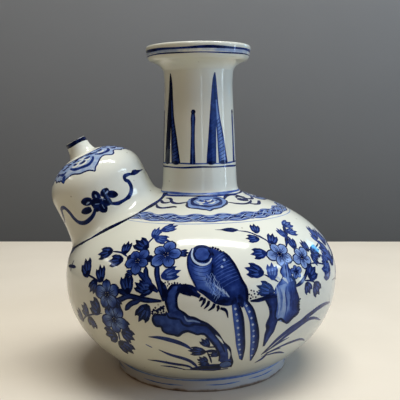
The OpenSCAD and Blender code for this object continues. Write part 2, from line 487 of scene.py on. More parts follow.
pot(
    "mouth_rim",
    [
        *rim_outside,
        straight(lip_out, lip_in),
        bend(lip_in, (lip_in[0] - DISH_SLOPE / 4, TOP_Z), dish_mid),
        bend(dish_mid, (dish_foot[0] + DISH_SLOPE / 4, dish_foot[1]), dish_foot),
        straight(dish_foot, bore_edge, 4),
        bend(bore_edge, (BORE_R, bore_edge[1]), bore_top),
        straight(bore_top, (BORE_R, MOUTH_Z), 6),
        straight((BORE_R, MOUTH_Z), mouth_joint),
    ],
)
shell(
    "spout_nozzle_shell",
    turned_runs(
        nozzle_axis,
        [
            *nozzle_outside,
            straight(nozzle_lip, (POUR_R + NOZZLE_ROUND, NOZZLE_H)),
            bend((POUR_R + NOZZLE_ROUND, NOZZLE_H), (POUR_R, NOZZLE_H), (POUR_R, NOZZLE_H - NOZZLE_ROUND)),
            straight((POUR_R, NOZZLE_H - NOZZLE_ROUND), (POUR_R, 0), 8),
            straight((POUR_R, 0), (NOZZLE_R, 0)),
        ],
        NOZZLE_TURNS,
    ),
    glaze,
    "spout_nozzle",
)

# The spout's bulb: its foot is cut to the shoulder, with a soft fillet of slip and glaze round the joint
bulb_outline = np.concatenate([bulb_outside[0]] + [run[1:] for run in bulb_outside[1:]])
shoulder_outline = np.concatenate(upper_outside)[::-1]
bulb_turn = np.arange(TURNS) * 2 * np.pi / TURNS
CUT_LOW, CUT_HIGH, CUT_TRIES = -16, 12, 400


def on_bulb(way_up, grow=0.0):
    """Points on the bulb's side at a height along its axis for each turn, with the radius grown."""
    radius = np.interp(way_up, bulb_outline[:, 1], bulb_outline[:, 0]) + grow
    turn = bulb_turn.reshape((1,) * (np.ndim(way_up) - 1) + (-1,))
    return spout_axis.origin + spout_axis.turned(radius, np.broadcast_to(turn, radius.shape), way_up)


def shoulder_cut(grow, sink=0.0):
    """Height along the spout's axis, for each turn, where the bulb's side comes out of the shoulder."""
    tries = np.linspace(CUT_LOW, CUT_HIGH, CUT_TRIES)[:, None] + np.zeros(len(bulb_turn))
    points = on_bulb(tries, grow)
    ground = np.interp(np.hypot(points[..., 0], points[..., 1]), *shoulder_outline.T)
    above = points[..., 2] - ground + sink
    first = np.argmax(above > 0, axis=0)
    here, before = (np.take_along_axis(above, k[None], 0)[0] for k in (first, first - 1))
    share = before / (before - here)
    return tries[first - 1, 0] + share * (tries[1, 0] - tries[0, 0])


def flare_at(middle):
    """A smooth swell from 0 to 1 and back over 180 degrees of turn, highest at the middle."""
    aside = np.abs((np.degrees(bulb_turn) - middle + 180) % 360 - 180)
    return np.cos(np.radians(np.minimum(aside, 90))) ** 2


cut = shoulder_cut(0.0)
flare = FILLET_FLARE * sum(flare_at(turn) for turn in FLARE_TURNS)
fillet_end = cut + FILLET + FLARE_RISE * flare
fillet_foot = on_bulb(shoulder_cut(FILLET + flare, FILLET_SINK), FILLET + flare)
fillet_mid = on_bulb(cut)
fillet_top = on_bulb(fillet_end)
t = np.linspace(0, 1, 14)[:, None, None]
fillet = (1 - t) ** 2 * fillet_foot + 2 * t * (1 - t) * fillet_mid + t**2 * fillet_top
share = np.linspace(0, 1, 24)[:, None]
bulb_side = on_bulb((1 - share) * fillet_end + share * BULB_SIDE_H)
inner_foot = on_bulb(shoulder_cut(-BULB_WALL, FILLET_SINK), -BULB_WALL)
inner_side = spout_axis.origin + spout_axis.turned(
    np.full(TURNS, BULB_R - BULB_WALL), bulb_turn, np.full(TURNS, BULB_SIDE_H)
)
inner_turn = np.arccos(POUR_R / (BULB_R - BULB_WALL))
inner_dome = arc(BULB_SIDE_H, BULB_R - BULB_WALL, DOME_RISE - BULB_WALL, inner_turn, 0)
bulb_top = turned_runs(
    spout_axis,
    [
        bulb_outside[2],
        straight((NOZZLE_R, NOZZLE_SEAT), (POUR_R, NOZZLE_SEAT)),
        straight((POUR_R, NOZZLE_SEAT), inner_dome[0]),
        inner_dome,
    ],
)
shell(
    "spout_bulb_shell",
    [
        np.concatenate([fillet, bulb_side[1:], bulb_top[0][1:]]),
        *bulb_top[1:],
        np.linspace(inner_side, inner_foot, 12),
        np.linspace(inner_foot, fillet_foot, 3),
    ],
    glaze,
    "spout_bulb",
)


# Brushwork
class Skin:
    """The outside of a turned form, by angle in degrees from the viewer and way up its outline."""

    def __init__(self, axis, runs, zero):
        self.axis = axis
        self.outline = np.concatenate([runs[0]] + [run[1:] for run in runs[1:]])
        steps = np.linalg.norm(np.diff(self.outline, axis=0), axis=1)
        self.way = np.concatenate([[0.0], np.cumsum(steps)])
        self.way -= np.interp(zero, self.outline[:, 1], self.way)
        along = np.gradient(self.outline, self.way, axis=0)
        self.out = np.stack([along[:, 1], -along[:, 0]], -1)

    def way_at(self, height):
        """Way up the outline at a height."""
        return float(np.interp(height, self.outline[:, 1], self.way))

    def scale(self, way):
        """Millimetres to a degree of turn."""
        return np.radians(np.interp(way, self.way, self.outline[:, 0]))

    def at(self, angle, way):
        """Points on the skin and the directions out of it."""
        turn = np.radians(angle)
        radius, height, out, up = (np.interp(way, self.way, v) for v in (*self.outline.T, *self.out.T))
        normal = self.axis.turned(out, turn, up)
        normal /= np.linalg.norm(normal, axis=-1, keepdims=True)
        return self.axis.origin + self.axis.turned(radius, turn, height), normal


pot_skin = Skin(pot_axis, lower_outside + upper_outside + neck_outside + rim_outside, FOOT_H)
bulb_skin = Skin(spout_axis, bulb_outside, 0)
nozzle_skin = Skin(nozzle_axis, nozzle_outside, 0)
foot_skin = Skin(pot_axis, [straight((FOOT_R, FOOT_BEVEL), (FOOT_R, FOOT_H), 6)], FOOT_BEVEL)

LAYER_LIFT = 0.02
FILM_LIFT = 0.0008
FILM_SINK = 0.05
FINEST = 0.05
BROAD = 1.2
FILM_CYCLE = 12
BRUSH_STEP = 0.9
WASH_STEP = 1.1
RING_STEP = 1.2


def spline(points, count):
    """Smooth curve through points: a cubic between each two, with slopes taken from their neighbours."""
    p = np.array(points, float)
    p = np.concatenate([[2 * p[0] - p[1]], p, [2 * p[-1] - p[-2]]])
    t = np.linspace(0, len(p) - 3, count)
    k = np.minimum(t.astype(int), len(p) - 4)
    f = (t - k)[:, None]
    a, b, c, d = p[k], p[k + 1], p[k + 2], p[k + 3]
    return b + 0.5 * f * (c - a + f * (2 * a - 5 * b + 4 * c - d + f * (3 * (b - c) + d - a)))


def spread(values, count):
    """Values spread evenly over a count of places."""
    values = np.atleast_1d(values).astype(float)
    return np.interp(np.linspace(0, 1, count), np.linspace(0, 1, len(values)), values)


class Painting:
    """Cobalt brushwork on one skin, gathered as thin closed films that lie on the glaze. Each film is a grid
    in angle and way, raised by its layer and sunk a little into the shell below."""

    def __init__(self, name, skin):
        self.name, self.skin, self.turn = name, skin, 0.0
        self.points, self.normals, self.ink, self.faces = [], [], [], []
        self.count = self.films = 0

    def film(self, angle, way, ink, layer):
        """A closed film over a grid of angles and ways, with ink for each grid point."""
        angle, way = np.broadcast_arrays(angle, way)
        ground, normal = self.skin.at(angle + self.turn, way)
        lift = LAYER_LIFT * layer + FILM_LIFT * (self.films % FILM_CYCLE)
        size = angle.size
        top = self.count + np.arange(size).reshape(angle.shape)
        self.films += 1
        self.count += 2 * size
        self.points += [(ground + lift * normal).reshape(-1, 3), (ground - FILM_SINK * normal).reshape(-1, 3)]
        self.normals += [normal.reshape(-1, 3)] * 2
        self.ink += [np.broadcast_to(ink, angle.shape).ravel()] * 2
        upper = np.stack([top[:-1, :-1], top[:-1, 1:], top[1:, 1:], top[1:, :-1]], -1).reshape(-1, 4)
        rim = np.concatenate([top[0, :-1], top[:-1, -1], top[-1, :0:-1], top[:0:-1, 0]])
        sides = np.stack([rim, rim + size, np.roll(rim, -1) + size, np.roll(rim, -1)], -1)
        faces = np.concatenate([upper, upper[:, ::-1] + size, sides])
        right, over = (np.diff(v, axis=1)[:-1] for v in (angle, way))
        aside, up = (np.diff(v, axis=0)[:, :-1] for v in (angle, way))
        self.faces.append(faces if np.sum(right * up - over * aside) > 0 else faces[:, ::-1])

    def length(self, points):
        """Length in millimetres of the smooth curve through points."""
        path = spline(points, 6 * len(points))
        return np.sum(np.hypot(np.diff(path[:, 0]) * self.skin.scale(path[1:, 1]), np.diff(path[:, 1])))

    def brush(self, points, width, ink=0.9, layer=3, fade=0.1):
        """A stroke along the smooth curve through points; half-widths and ink are spread along it."""
        count = int(np.clip(self.length(points) / BRUSH_STEP, 7, 120))
        path = spline(points, count)
        scale = self.skin.scale(path[:, 1])[:, None]
        along = np.gradient(path, axis=0) * np.hstack([scale, np.ones_like(scale)])
        along /= np.linalg.norm(along, axis=1, keepdims=True)
        half = np.maximum(spread(width, count), FINEST)[:, None]
        side = np.linspace(-1, 1, 3 if half.max() < BROAD else 5)
        angle = path[:, :1] - half * side * along[:, 1:] / scale
        way = path[:, 1:] + half * side * along[:, :1]
        self.film(angle, way, spread(ink, count)[:, None] - fade * side**2, layer)

    def line(self, points, width, ink=0.9, layer=3):
        """A stroke of even width with soft ends."""
        self.brush(points, [0.3 * width, width, width, width, width, 0.4 * width], ink, layer)

    def wash(self, first, second, ink, layer=2):
        """A patch between two smooth edges; ink is spread from the first edge to the second."""
        count = int(np.clip(max(self.length(first), self.length(second)) / WASH_STEP, 6, 90))
        a, b = spline(first, count), spline(second, count)
        gap = np.hypot((a - b)[:, 0] * self.skin.scale(a[:, 1]), (a - b)[:, 1]).max()
        u = np.linspace(0, 1, int(np.clip(gap / WASH_STEP, 3, 40)))
        angle = a[:, :1] * (1 - u) + b[:, :1] * u
        way = a[:, 1:] * (1 - u) + b[:, 1:] * u
        self.film(angle, way, spread(ink, len(u)), layer)

    def dot(self, at, radius, ink=0.9, layer=3):
        """A small round touch of the brush."""
        reach = radius / self.skin.scale(at[1])
        round_half = radius * np.sin(np.linspace(0, np.pi, 9))
        self.brush([(at[0] - reach, at[1]), (at[0] + reach, at[1])], round_half, ink, layer)

    def ring(self, way, half, ink, layer=2, span=(-180, 180), wobble=0.15):
        """A painted line round the form, a little uneven in height and weight."""
        angle = np.linspace(*span, int((span[1] - span[0]) / RING_STEP) + 1)[:, None]
        turn = np.radians(angle)
        middle = way + wobble * (np.sin(3 * turn + way) + 0.6 * np.sin(7 * turn + 2 * way))
        weight = half * (1 + 0.2 * np.sin(5 * turn + 3 * way))
        side = np.linspace(-1, 1, 3)
        self.film(angle, middle + weight * side, ink - 0.1 * side**2 + 0.08 * np.sin(4 * turn + way), layer)

    def spot(self, at, turn, offsets):
        """Places given in millimetres along and across a direction that turns from level, about a point."""
        x, y = np.array(offsets, float).T
        c, s = np.cos(np.radians(turn)), np.sin(np.radians(turn))
        return np.stack([at[0] + (x * c - y * s) / self.skin.scale(at[1]), at[1] + x * s + y * c], -1)

    def heading(self, base, tip):
        """Length in millimetres and direction in degrees from a base to a tip."""
        across = (tip[0] - base[0]) * self.skin.scale(0.5 * (base[1] + tip[1]))
        return np.hypot(across, tip[1] - base[1]), np.degrees(np.arctan2(tip[1] - base[1], across))

    def finish(self):
        """Makes the mesh of all films, with the ink as a point attribute."""
        faces = np.concatenate(self.faces)
        piece = mesh_piece(self.name, np.concatenate(self.points), faces.tolist(), cobalt)
        ink = piece.data.attributes.new("ink", "FLOAT", "POINT")
        ink.data.foreach_set("value", np.concatenate(self.ink).astype(np.float32))
        piece.data.normals_split_custom_set_from_vertices(np.concatenate(self.normals).tolist())
        return piece


# Motifs
BLADE = np.array((0.25, 0.7, 0.95, 1.0, 0.95, 0.6))
LOBE = np.array((0.7, 1.0, 0.85, 0.5, 0.06))
BLADE_HALF = 0.36
LOBE_HALF = 0.15
STREAK_HALF = 0.055
ROUND = np.sqrt(1 - np.linspace(-1, 1, 11) ** 2)


def leaf(p, base, tip, ink=0.96, wide=1.0, layer=4):
    """A round leaf that ends in three short points, dark, with a paler streak towards each point."""
    length, turn = p.heading(base, tip)
    p.brush(p.spot(base, turn, [(0, 0), (0.8 * length, 0)]), BLADE_HALF * wide * length * BLADE, ink, layer)
    for reach, aside in ((0.9, 0.3), (0.9, -0.3), (1.06, 0.0)):
        end = length * np.array((reach, wide * aside))
        point = p.spot(base, turn, [(0.5, 0.7) * end, (0.75, 0.9) * end, end])
        p.brush(point, LOBE_HALF * wide * length * LOBE, ink, layer)
        core = p.spot(base, turn, [(0.3, 0.4) * end, (0.5, 0.62) * end, (0.76, 0.78) * end])
        p.brush(core, STREAK_HALF * wide * length * LOBE, ink - 0.22, layer + 0.5)


def flower(p, centre, radius, turn, inks, layer=4):
    """An open flower of five round petals with dark outlines, and dark lines that run out of a small heart.
    The inks of a petal go from its heart to its tip."""
    for k in range(5):
        way = turn + 72 * k
        reach = radius * (1 + 0.1 * np.sin(2.4 * k + radius))
        over = layer + k
        p.brush(p.spot(centre, way, [(0.1 * reach, 0), (reach, 0)]), 0.4 * reach * ROUND, 0.97, over)
        inner = p.spot(centre, way, [(0.14 * reach, 0), (0.91 * reach, 0)])
        p.brush(inner, 0.32 * reach * ROUND, inks, over + 0.5)
        for swing, share in ((-15, 0.5), (0, 0.66), (15, 0.46)):
            vein = p.spot(centre, way + swing, [(0.05 * reach, 0), (share * reach, 0)])
            p.line(vein, 0.18, 0.92, layer + 6)
    disc(p, centre, 0.12 * radius, 0.98, layer + 7)


def branch(p, path, half=1.55, ink=0.86):
    """A branch with dark outlines and a paler core."""
    p.line(path, half, 0.98, 2)
    p.line(path, 0.35 * half, ink, 3)


def disc(p, at, radius, ink, layer):
    """A round patch of even ink."""
    p.brush(p.spot(at, 0, [(-radius, 0), (radius, 0)]), radius * ROUND, ink, layer, 0)


def dots(p, places, radius=0.55, layer=5):
    """Touches of moss."""
    for k, at in enumerate(places):
        p.dot(at, radius * (1 + 0.25 * np.sin(3 * k)), 1.0, layer)


def left_spray(p):
    """Branches of flowers and leaves on the left of the bird."""
    for path in (
        [(-25, 81.5), (-19.5, 75), (-15.5, 70.5)],
        [(-21.5, 83.5), (-20.5, 78), (-18, 74)],
        [(-17, 86.5), (-16.5, 80), (-15, 74), (-14, 69)],
        [(-34.5, 61.5), (-30.5, 64.5), (-26.5, 67), (-20.5, 66), (-14, 66)],
        [(-28.5, 59), (-26, 63), (-22, 65.5)],
        [(-32.5, 69.5), (-28, 68), (-26, 67)],
    ):
        branch(p, path)
    p.brush([(-15.6, 77), (-13.6, 72), (-12.8, 66)], [0.8, 2.1, 2.4, 1.4], 0.97, 3)
    p.brush([(-16.8, 60.4), (-14.8, 61.6), (-13, 63.6)], [0.3, 0.8, 0.5], 0.95, 3)
    disc(p, (-29.8, 87.6), 2.0, 0.95, 3)
    disc(p, (-20.8, 88.2), 2.2, 0.9, 3)
    for path in (
        [(-24, 91), (-24, 97.5), (-22.5, 102), (-19.5, 106.5)],
        [(-22.5, 102), (-18, 101.5)],
        [(-50, 74), (-45, 73), (-41, 71.5)],
        [(-33, 46.5), (-34, 39)],
        [(-40, 54.5), (-45, 52.5), (-51.5, 49), (-55.5, 45)],
        [(-31, 88), (-35, 90), (-40, 90)],
        [(-43, 70), (-47, 67)],
    ):
        p.line(path, 0.55, 0.92, 3)
    p.line([(-61, 75), (-66, 74.2), (-72, 72.5)], 1.0, 0.95)
    p.line([(-66, 78), (-66.5, 74), (-66, 71)], 0.7, 0.9)
    for base, tip in (
        ((-41, 54.5), (-46.5, 59.5)), ((-49, 50.5), (-53.5, 55)), ((-55.5, 44.5), (-60, 49.5)),
        ((-48, 50), (-48.5, 42)), ((-34.5, 42.5), (-41, 40.5)), ((-31.5, 46), (-26.5, 41.5)),
        ((-34.5, 38.5), (-30, 30)), ((-19, 63.5), (-23, 54)), ((-17, 73), (-23.5, 70.5)),
        ((-27, 68), (-29.2, 78.5)), ((-40, 72), (-43.5, 80.5)), ((-48.5, 73), (-55, 81.5)),
        ((-43, 72.5), (-46.5, 65)), ((-40, 90), (-47.5, 86.5)), ((-33, 89), (-34.5, 97.5)),
        ((-32.5, 86), (-39.5, 84)), ((-23, 94), (-31, 99)), ((-9.5, 92), (-4.8, 92.6)),
        ((-31.5, 51.5), (-27.6, 48.2)), ((-19.6, 70), (-24.6, 74.4)),
    ):
        leaf(p, base, tip, wide=1.5 if base[1] < 56 else 1.0)
    for base, tip in (((-35.5, 63), (-38, 57)), ((-33.5, 65), (-30.4, 60)), ((-26, 80), (-29.5, 78.2))):
        leaf(p, base, tip, layer=6)
    for base, tip in (
        ((-14.8, 78.5), (-7.8, 82.2)), ((-22.5, 101.5), (-22.4, 110)), ((-20.5, 107.5), (-12.5, 112.4)),
        ((-22, 102), (-14.5, 100.2)),
    ):
        leaf(p, base, tip, 0.8, 0.9)
    flower(p, (-25.8, 86.3), 7.8, 60, (0.85, 0.7, 0.62))
    flower(p, (-14.2, 91.2), 9, 80, (0.8, 0.62, 0.52))
    flower(p, (-36.8, 66), 9.2, 30, (0.6, 0.42, 0.6, 0.92))
    flower(p, (-34, 52.5), 9.4, 55, (0.6, 0.42, 0.6, 0.92))


def right_spray(p):
    """Branches of flowers and leaves on the right of the bird."""
    for path in (
        [(36, 68.5), (40.5, 70.4), (44, 74), (46.6, 78), (48, 80.5)],
        [(39.5, 91.5), (43.5, 97.5), (47, 103), (49.5, 106)],
        [(79.5, 91.5), (80.5, 80.5), (75, 75), (68.5, 73)],
    ):
        branch(p, path, 1.2)
    trunk_left = [(33.2, 83), (32.7, 80.5), (31.2, 78), (31.8, 75.4), (30.2, 73), (29.6, 71)]
    trunk_right = [(36.3, 82.5), (35.6, 79.5), (36.8, 77.4), (36, 75.4), (37.6, 72.5)]
    p.wash(trunk_left, trunk_right, (0.7, 0.45, 0.36, 0.5, 0.7), 3)
    bark = ([(34.6, 82), (34, 78), (33.4, 74.5)], [(35.6, 80), (35, 76), (35, 72)])
    for edge in (trunk_left, trunk_right, *bark):
        p.brush(edge, [0.2, 0.5, 0.2, 0.4, 0.15], 0.85, 4)
    for path in (
        [(42, 71), (46.5, 69.5), (48.5, 68)],
        [(31, 93), (31.5, 97), (29, 100.5), (24.5, 105), (19, 107)],
        [(31.5, 97), (28.5, 102)],
        [(46.5, 100), (44.5, 98.5)],
        [(48, 79), (53, 78), (58, 76), (63, 74)],
        [(50, 87), (57, 86), (66, 88)],
        [(24, 78), (27, 75.5), (29.5, 73)],
        [(68.5, 73), (80, 75), (90, 79), (100, 80)],
        [(66, 64), (76, 62), (84, 60)],
    ):
        p.line(path, 0.5, 0.9, 3)
    for base, tip in (
        ((28, 103.5), (30.5, 111)), ((28, 99.5), (21.5, 100.5)), ((32.5, 94.5), (37, 101.5)),
        ((28, 90), (21, 90)), ((24, 78.5), (17, 82.5)), ((27, 68), (20.5, 72.4)),
        ((43.6, 89), (45.2, 97.5)), ((51.5, 85.5), (51.5, 93.5)), ((52.5, 84), (60.5, 84.5)),
        ((51.4, 83.4), (55, 77.2)), ((45, 71.6), (51, 76)), ((43, 69.5), (45, 63)),
        ((48, 68), (51.5, 60.5)), ((66.5, 90), (72, 99)), ((65.5, 88.5), (64, 95)),
        ((62.5, 74), (62, 82.5)), ((63, 78), (60, 69)), ((73, 85.5), (80, 91.5)), ((72, 84), (78, 95)),
        ((70.5, 79), (62, 85)), ((67, 73), (73, 80)), ((64, 70), (56, 73.5)), ((71, 77), (65, 82)),
        ((78, 76), (84, 83)), ((88, 79), (93, 88)), ((90, 78), (98, 72)), ((99, 80), (105, 87)),
        ((76, 62), (83, 68)), ((83, 60), (91, 56)),
    ):
        leaf(p, base, tip, 0.9 if base[0] < 60 else 0.8, 1.3 if base[0] > 42 and base[1] < 82 else 1.0)
    leaf(p, (27, 74.5), (28.5, 83.5), 0.74)
    for base, tip in (((43, 97.5), (42.5, 105)), ((48.5, 105.8), (57.5, 107)), ((46.5, 101), (54, 99.6))):
        leaf(p, base, tip, 0.78, 0.9)
    bud = [(7.5, 108.6), (10.5, 108.4), (13.5, 108.2), (16.5, 107.8), (19.5, 107.4)]
    p.brush(bud, [0.1, 0.3, 1.5, 1.9, 0.4], 0.9, 4)
    p.brush([(12.5, 107.2), (15, 107.3), (18.5, 107.5)], [0.2, 0.8, 0.5], 0.95, 5)
    flower(p, (34, 88), 8.3, 180, (0.5, 0.38, 0.34))
    flower(p, (45.3, 83.5), 7.6, 185, (0.5, 0.38, 0.34))
    flower(p, (39, 76.5), 4.4, 90, (0.6, 0.5, 0.6))


def left_rock(p):
    """Pierced garden rock under the bird: an arch on the left runs down into a lumpy mass, on dark ground."""
    arch_out = [
        (-3, 71.5), (-5, 73.5), (-7, 74.5), (-10, 74.5), (-11, 73), (-12, 70.5), (-12.5, 66.5),
        (-12, 63), (-11.5, 60),
    ]
    arch_in = [(-3.5, 69.3), (-6, 70.5), (-7.5, 71), (-8.5, 69.5), (-8.7, 67), (-8.5, 63), (-7.5, 61.5)]
    lump = [
        (-12.5, 58.5), (-16.5, 58.5), (-17.5, 55.5), (-16.5, 52.5), (-14.5, 52), (-14, 49.5),
        (-12.5, 48), (-10, 47.5), (-8.5, 47), (-7, 49), (-5, 50), (-3, 49), (-1.5, 48), (0.5, 48.5),
        (2, 46.5), (4, 42.5), (6, 37), (7, 32), (7, 27.5),
    ]
    flow = [
        (-7.5, 61.5), (-6, 60), (-4.5, 58), (-2.5, 57.5), (-0.5, 56), (2, 54), (4, 51), (6, 47.5),
        (8, 42.5), (10.5, 38), (11.5, 31.5), (13, 25.5), (13, 20),
    ]
    seam = [
        (-12.5, 60.5), (-11.5, 57.5), (-9.5, 57), (-7.5, 56.5), (-6.5, 54), (-4.5, 53), (-2.5, 54),
        (-0.5, 53.5), (2, 53),
    ]
    p.wash(lump, [(-12.5, 59.5), (-10, 60.8)] + flow, (0.8, 0.7, 0.66, 0.72, 0.8), 2)
    p.wash(arch_out, arch_in, (0.85, 0.66, 0.66, 0.84), 3)
    p.brush([(-8.5, 73), (-5.3, 71.9), (-2.6, 70.6), (-0.4, 68.8)], [1.8, 2.1, 1.6, 1.0], 0.97, 4)
    p.brush([(-6.5, 75), (-3.8, 73.8), (-1.2, 71.8)], [0.3, 1.1, 0.9], 0.96, 4)
    p.brush(seam + [(4.5, 48.5), (7, 42), (9, 35)], [0.4, 0.7, 0.6, 0.9, 0.7, 0.9, 0.4], 0.95, 4)
    p.brush([(-6, 58.5), (-5, 56), (-3, 56), (-0.5, 55)], [0.2, 0.5, 0.5, 0.2], 0.4, 4)
    for edge in (lump, flow, arch_out, arch_in):
        p.brush(edge, [0.45, 0.8, 0.5, 0.85, 0.55, 0.75, 0.4], 1.0, 5)
    for path in ([(5, 47.5), (6.5, 45), (8, 41.5)], [(9.8, 37.5), (10.8, 33.5), (11, 29)]):
        p.brush(path, [0.15, 0.55, 0.6, 0.15], 0.03, 6, 0)
    ground = [(-5.5, 19.6), (-2, 20.6), (2.5, 21.4), (8.5, 21.6)]
    p.brush(ground, [0.3, 1.5, 2.6, 3.4, 3.0], (0.9, 0.95, 0.9), 5)
    p.brush([(-9, 18.4), (-2, 18.4), (5, 17.6), (12, 18.4)], [0.2, 0.6, 0.9, 0.5], 0.95, 5)
    disc(p, (10.2, 23.2), 3.9, 0.97, 5)
    disc(p, (10.2, 23.4), 3.2, 0.42, 6)
    for k in range(5):
        p.line([(8.2 + 0.1 * k, 21.4 + 1.1 * k), (10.2, 20.9 + 1.2 * k), (12.2, 21.6 + 1.1 * k)], 0.2, 0.9, 7)
    dots(p, [
        (-13.5, 75), (-13, 75.6), (-12, 76), (-13, 74), (-12, 74), (-11.5, 75), (-10.5, 75.2),
        (-9.5, 75.6),
    ], 0.5)
    dots(p, [
        (-8.5, 75.6), (-7.5, 75.2), (-6.5, 74.8), (-5.5, 75), (-4.5, 74.5), (-4, 73.5), (-3.5, 72.7),
        (-2, 72),
    ], 0.5)
    dots(p, [
        (-17.5, 60), (-17, 61), (-16, 60.5), (-17.5, 59), (-16.5, 59), (-15.5, 60), (-14.5, 61),
        (-13.5, 62),
    ], 0.7)
    dots(p, [(-16.4, 62.2), (-15.2, 61.6), (-14.2, 59.8), (-13.4, 60.6), (-14.4, 62.8), (-16.8, 58)], 0.6)
    for base, tip in (
        ((2.6, 39.8), (0, 45.2)), ((1.5, 35.8), (-5, 37)), ((2, 26.5), (-1, 32)),
        ((3, 24.5), (-1.6, 27)), ((7, 33), (2.8, 34.2)),
    ):
        leaf(p, base, tip, 0.96)
    p.brush([(0.5, 36), (3.5, 36.6), (6.5, 36)], [0.5, 1.2, 0.6], 0.95, 4)
    p.line([(2, 39.5), (5.5, 39.5)], 0.5, 0.95)
    p.line([(4, 26), (3.2, 31), (2, 36)], 0.5, 0.95)


def right_rock(p):
    """Tall garden rock on the right of the bird: dark leg, pale streaked face and a dark right side."""
    leg_left = [
        (23, 66), (25, 61), (25.5, 59), (25.5, 55.5), (24.5, 51), (25, 48), (24.5, 44.5), (24.6, 40),
        (24.8, 36),
    ]
    leg_right = [
        (28.4, 67), (28, 60.5), (27.5, 55), (28.5, 52), (28, 49), (27.5, 45.5), (26.6, 43),
        (25.8, 39.5), (25.1, 36),
    ]
    left = [(30.8, 74), (28.8, 71), (27.2, 68), (28, 64.5), (28, 59.5), (27.5, 54.5), (28.5, 52)]
    right = [
        (35.4, 75), (37.2, 71.5), (37, 67.5), (38.4, 62), (38.2, 57.5), (38.4, 54), (36, 52),
        (34, 49.5), (33, 49.5),
    ]
    foot = [(28.5, 52), (29.5, 52.5), (30.5, 52.5), (31.5, 51), (33, 49.5)]
    p.wash(left, right, (0.58, 0.4, 0.24, 0.28, 0.5, 0.72, 0.8, 0.88), 2)
    p.wash(leg_left, leg_right, (0.9, 0.72, 0.8), 3)
    p.brush([(27.2, 68), (28.6, 71), (30.6, 73.8)], [0.3, 0.55, 0.3, 0.2], 0.75, 4)
    p.brush([(34.6, 74.8), (36.2, 73.6), (37.2, 71.4)], [0.2, 0.7, 0.5], 0.88, 4)
    p.brush([(23, 65.5), (25.5, 66.8), (28, 65.2)], [0.8, 1.9, 1.7, 0.6], 0.93, 4)
    p.brush(leg_left, [0.5, 1.1, 0.8, 1.2, 0.7, 0.4], 0.94, 4)
    p.brush(leg_right, [0.3, 0.6, 0.5, 0.7, 0.5, 0.3], 0.9, 4)
    p.brush(right, [0.5, 0.8, 0.6, 0.9, 1.1, 0.9, 0.7], 0.95, 4)
    p.brush(foot, [0.5, 0.8, 0.6, 0.8, 0.5], 0.95, 4)
    for path, tone in (
        ([(28.2, 71), (28.7, 66), (29.2, 60), (28.8, 55)], 0.26),
        ([(29.6, 70), (30.3, 64), (29.9, 57)], 0.52),
        ([(31, 69), (31.5, 62), (30.8, 55)], 0.25),
        ([(32.6, 70), (32, 65), (32.6, 60), (32, 53)], 0.7),
        ([(33.4, 67), (33.8, 62), (33.2, 57)], 0.42),
        ([(34.4, 71), (35, 66), (34.4, 61), (34.8, 55)], 0.76),
        ([(36.2, 70), (35.8, 64), (36.5, 59.5)], 0.78),
        ([(35.2, 57), (36.6, 55), (35.6, 52.6)], 0.8),
        ([(28.8, 76), (29.8, 75), (30.4, 73.4)], 0.12),
        ([(31.4, 75), (32.8, 73.4), (33.6, 71.4)], 0.16),
    ):
        p.brush(path, [0.2, 0.6, 0.75, 0.4, 0.2], tone, 4)
    dots(p, [(38.6, 60), (38.7, 58.4), (38.7, 57), (39, 55.5), (38.2, 54), (37.1, 52.5)], 0.8, 5)
    p.line([(38.4, 60.5), (39.6, 61.8)], 0.5, 1.0)
    p.brush([(17.5, 65), (20.5, 65), (23, 65.5), (25, 66)], [0.5, 1.1, 1.2, 0.8], 0.95, 3)
    dots(p, [
        (18, 70.5), (19, 70), (18, 68), (19.2, 68.6), (20.2, 69.5), (20.5, 68), (18.5, 67),
        (17.6, 66.4),
    ], 0.5)
    dots(p, [(17.2, 68.6), (19.6, 66.8), (21, 70), (21.6, 69), (21.8, 67.2)], 0.5)


